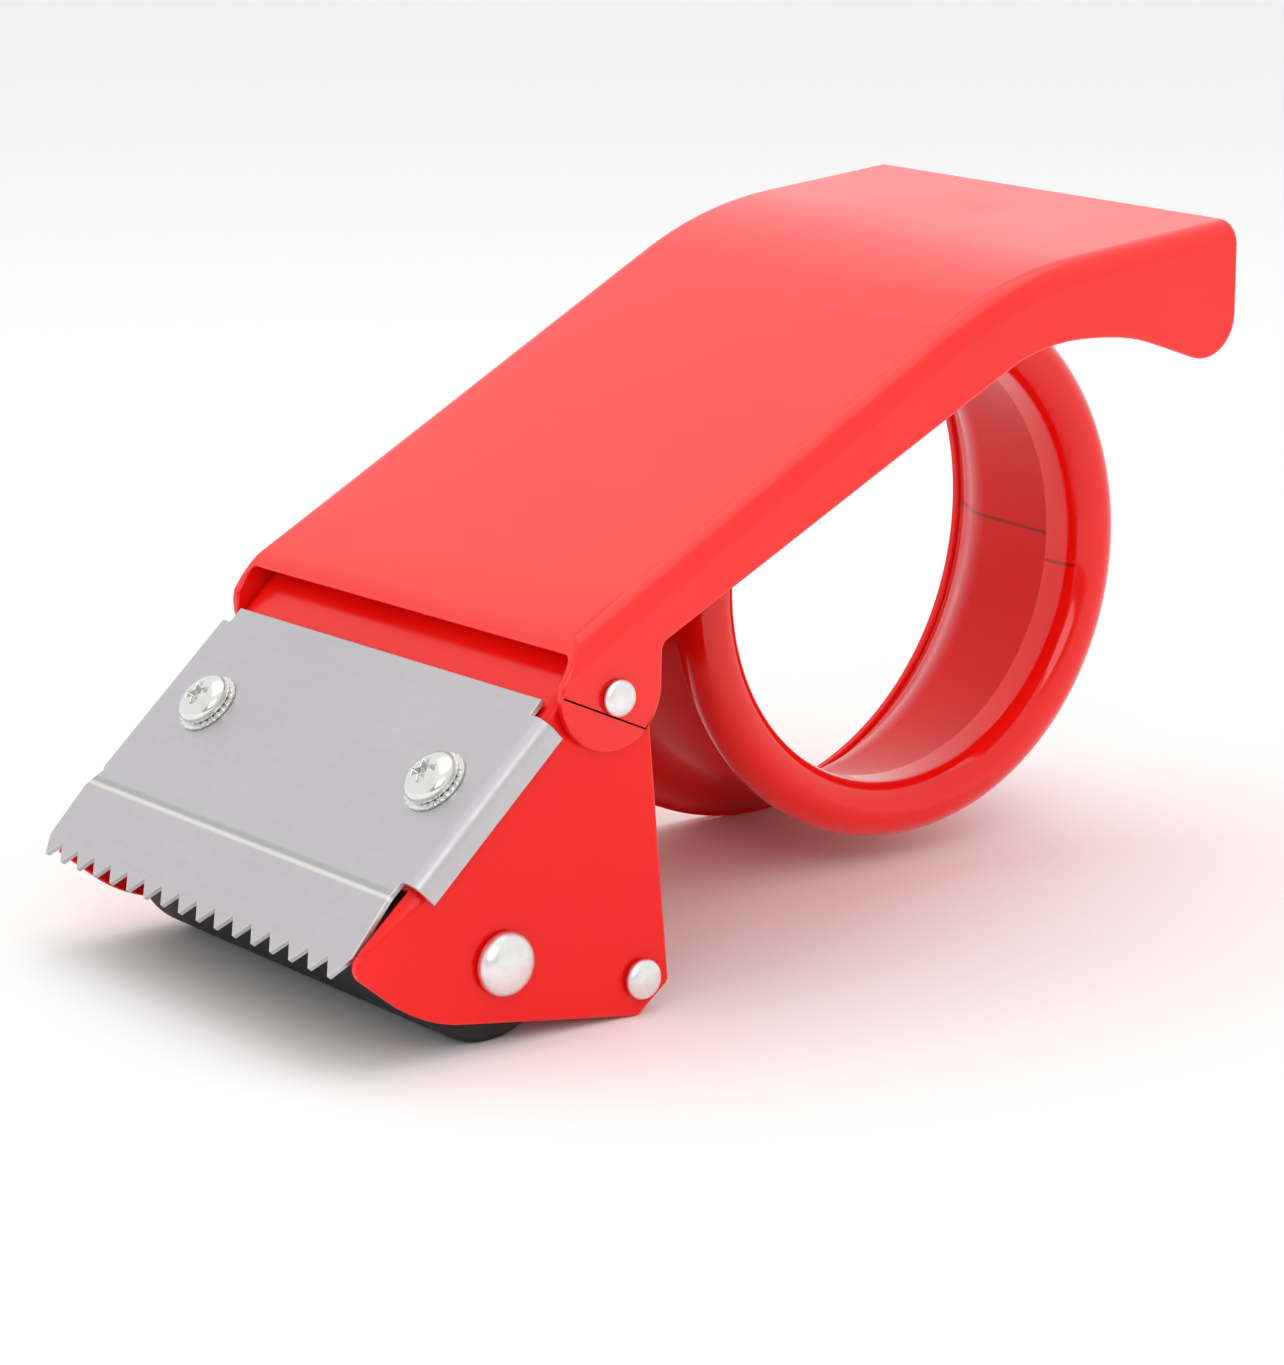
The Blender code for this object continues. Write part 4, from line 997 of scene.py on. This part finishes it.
def build_studio():
    scene = bpy.context.scene
    world = bpy.data.worlds.new("studio")
    world.use_nodes = True
    tree = world.node_tree
    toward = put(tree, "ShaderNodeTexCoord").outputs["Generated"]
    dark_side = Vector((-0.62, -0.75, 0.22)).normalized()
    facing = put(
        tree, "ShaderNodeVectorMath", {0: toward, 1: dark_side}, operation="DOT_PRODUCT"
    ).outputs["Value"]
    sky = blend_colours(
        tree, spread(tree, facing, 0.80, 0.95, 0.0, 1.0), (1.0, 1.0, 1.0, 1.0), (0.2, 0.2, 0.2, 1.0)
    )
    background = tree.nodes["Background"]
    tree.links.new(sky, background.inputs["Color"])
    background.inputs["Strength"].default_value = SKY_STRENGTH
    scene.world = world
    scene.view_settings.view_transform = "Standard"

    bm = bmesh.new()
    bmesh.ops.create_grid(bm, x_segments=8, y_segments=8, size=6.0)
    mesh = bpy.data.meshes.new("pale_floor")
    bm.to_mesh(mesh)
    bm.free()
    floor = bpy.data.objects.new("pale_floor", mesh)
    floor.location.z = cad_bounds[0][2]
    scene.collection.objects.link(floor)
    mesh.materials.append(floor_paint())

    middle = (Vector(cad_bounds[0]) + Vector(cad_bounds[1])) / 2
    area_light("key", KEY_PLACE, middle, KEY_SIZE, KEY_POWER)
    area_light("overhead", OVERHEAD_PLACE, middle, OVERHEAD_SIZE, OVERHEAD_POWER)

    lens = bpy.data.cameras.new("camera")
    lens.sensor_fit = "AUTO"
    lens.sensor_width = 36.0
    lens.lens = CAMERA_LENS
    lens.shift_y = CAMERA_SHIFT_Y
    lens.clip_start = 0.01
    camera = bpy.data.objects.new("camera", lens)
    camera.location = CAMERA_PLACE
    camera.rotation_euler = (CAMERA_PITCH, 0.0, CAMERA_HEADING)
    scene.collection.objects.link(camera)
    scene.camera = camera


# ---- assembly ----------------------------------------------------------------------
def repaint(node, material):
    """Give a carried-over CAD node its finished material."""
    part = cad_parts[node]
    part.data.materials.clear()
    part.data.materials.append(material)


def build():
    enamel = red_enamel("gloss_red_enamel", (0.88, 0.005, 0.003, 1.0), (0.94, 0.009, 0.005, 1.0),
                        0.20)
    pressing = red_enamel("frame_red_enamel", (0.88, 0.005, 0.003, 1.0), (0.94, 0.009, 0.005, 1.0),
                          0.20, coat=0.05, specular=0.3)
    # The hub's inside: the same enamel with a darker base colour, as painted shade for the inside of
    # the tube.
    inner = red_enamel("hub_red_enamel_painted_shade", (0.70, 0.003, 0.002, 1.0), (0.80, 0.005, 0.003, 1.0), 0.22,
                       joint=TUBE_SEAM, coat=0.0, specular=0.12)
    rim_paint = red_enamel("rim_red_enamel", (0.86, 0.005, 0.003, 1.0), (0.92, 0.008, 0.005, 1.0),
                           0.14, joint=RIM_SEAM, reach=RIM_SEAM_REACH, coat=0.3, specular=0.35)
    steel = stamped_steel()
    zinc = plated("bright_zinc", (0.80, 0.80, 0.78, 1.0), 0.20, 700.0)
    rivet_metal = plated("satin_rivet", (0.86, 0.86, 0.85, 1.0), 0.34, 900.0)
    wire = plated("oiled_wire", (0.30, 0.30, 0.31, 1.0), 0.30, 1500.0)
    rubber = ground_rubber()
    nylon = moulded_nylon()

    finish(build_frame(), "frame", pressing, "red_enamel", "head_frame", edge=0.20)
    finish(build_handle(), "handle", enamel, "red_enamel", "handle", edge=0.22)
    finish(build_cutter(), "frame", steel, "stainless_plate", "cutter_plate", edge=0.09)
    finish(build_hub_tube(), "frame", inner, "red_enamel_hub", "hub_tube")
    finish(build_hub_rim(), "frame", rim_paint, "red_enamel", "hub_rim")
    finish(build_roller(), "roller", rubber, "black_rubber", "rubber_roller")
    for label, y in zip(("near", "far"), SCREW_Y):
        screw = build_screw(label, y)
        finish(screw, "frame", zinc, "bright_zinc", label + "_screw", edge=0.05)
        washer = build_washer(label, y)
        finish(washer, "frame", zinc, "bright_zinc", label + "_washer")
        repaint(label + "_nut", zinc)
        repaint(label + "_roller_bush", nylon)
    plate = FRAME_HALF_WIDTH + GAP
    axle = build_rivet(
        "roller_axle_rivet", ROLLER_AXIS, AXLE_RADIUS, AXLE_HEAD_RADIUS, AXLE_HEAD_HEIGHT, plate
    )
    finish(axle, "frame", rivet_metal, "bright_zinc", "roller_axle")
    pin = build_rivet(
        "guide_rivet", GUIDE_AXIS, GUIDE_PIN_RADIUS, GUIDE_HEAD_RADIUS, GUIDE_HEAD_HEIGHT, plate
    )
    finish(pin, "frame", rivet_metal, "bright_zinc", "guide_pin")
    pivot = build_rivet(
        "pivot_rivet", PIVOT, PIVOT_PIN_RADIUS, PIVOT_HEAD_RADIUS, PIVOT_HEAD_HEIGHT,
        HANDLE_HALF_WIDTH + GAP,
    )
    finish(pivot, "frame", rivet_metal, "bright_zinc", "pivot_pin")
    repaint("roller_core", nylon)
    repaint("guide_sleeve", nylon)
    repaint("torsion_spring", wire)
    build_studio()


build()
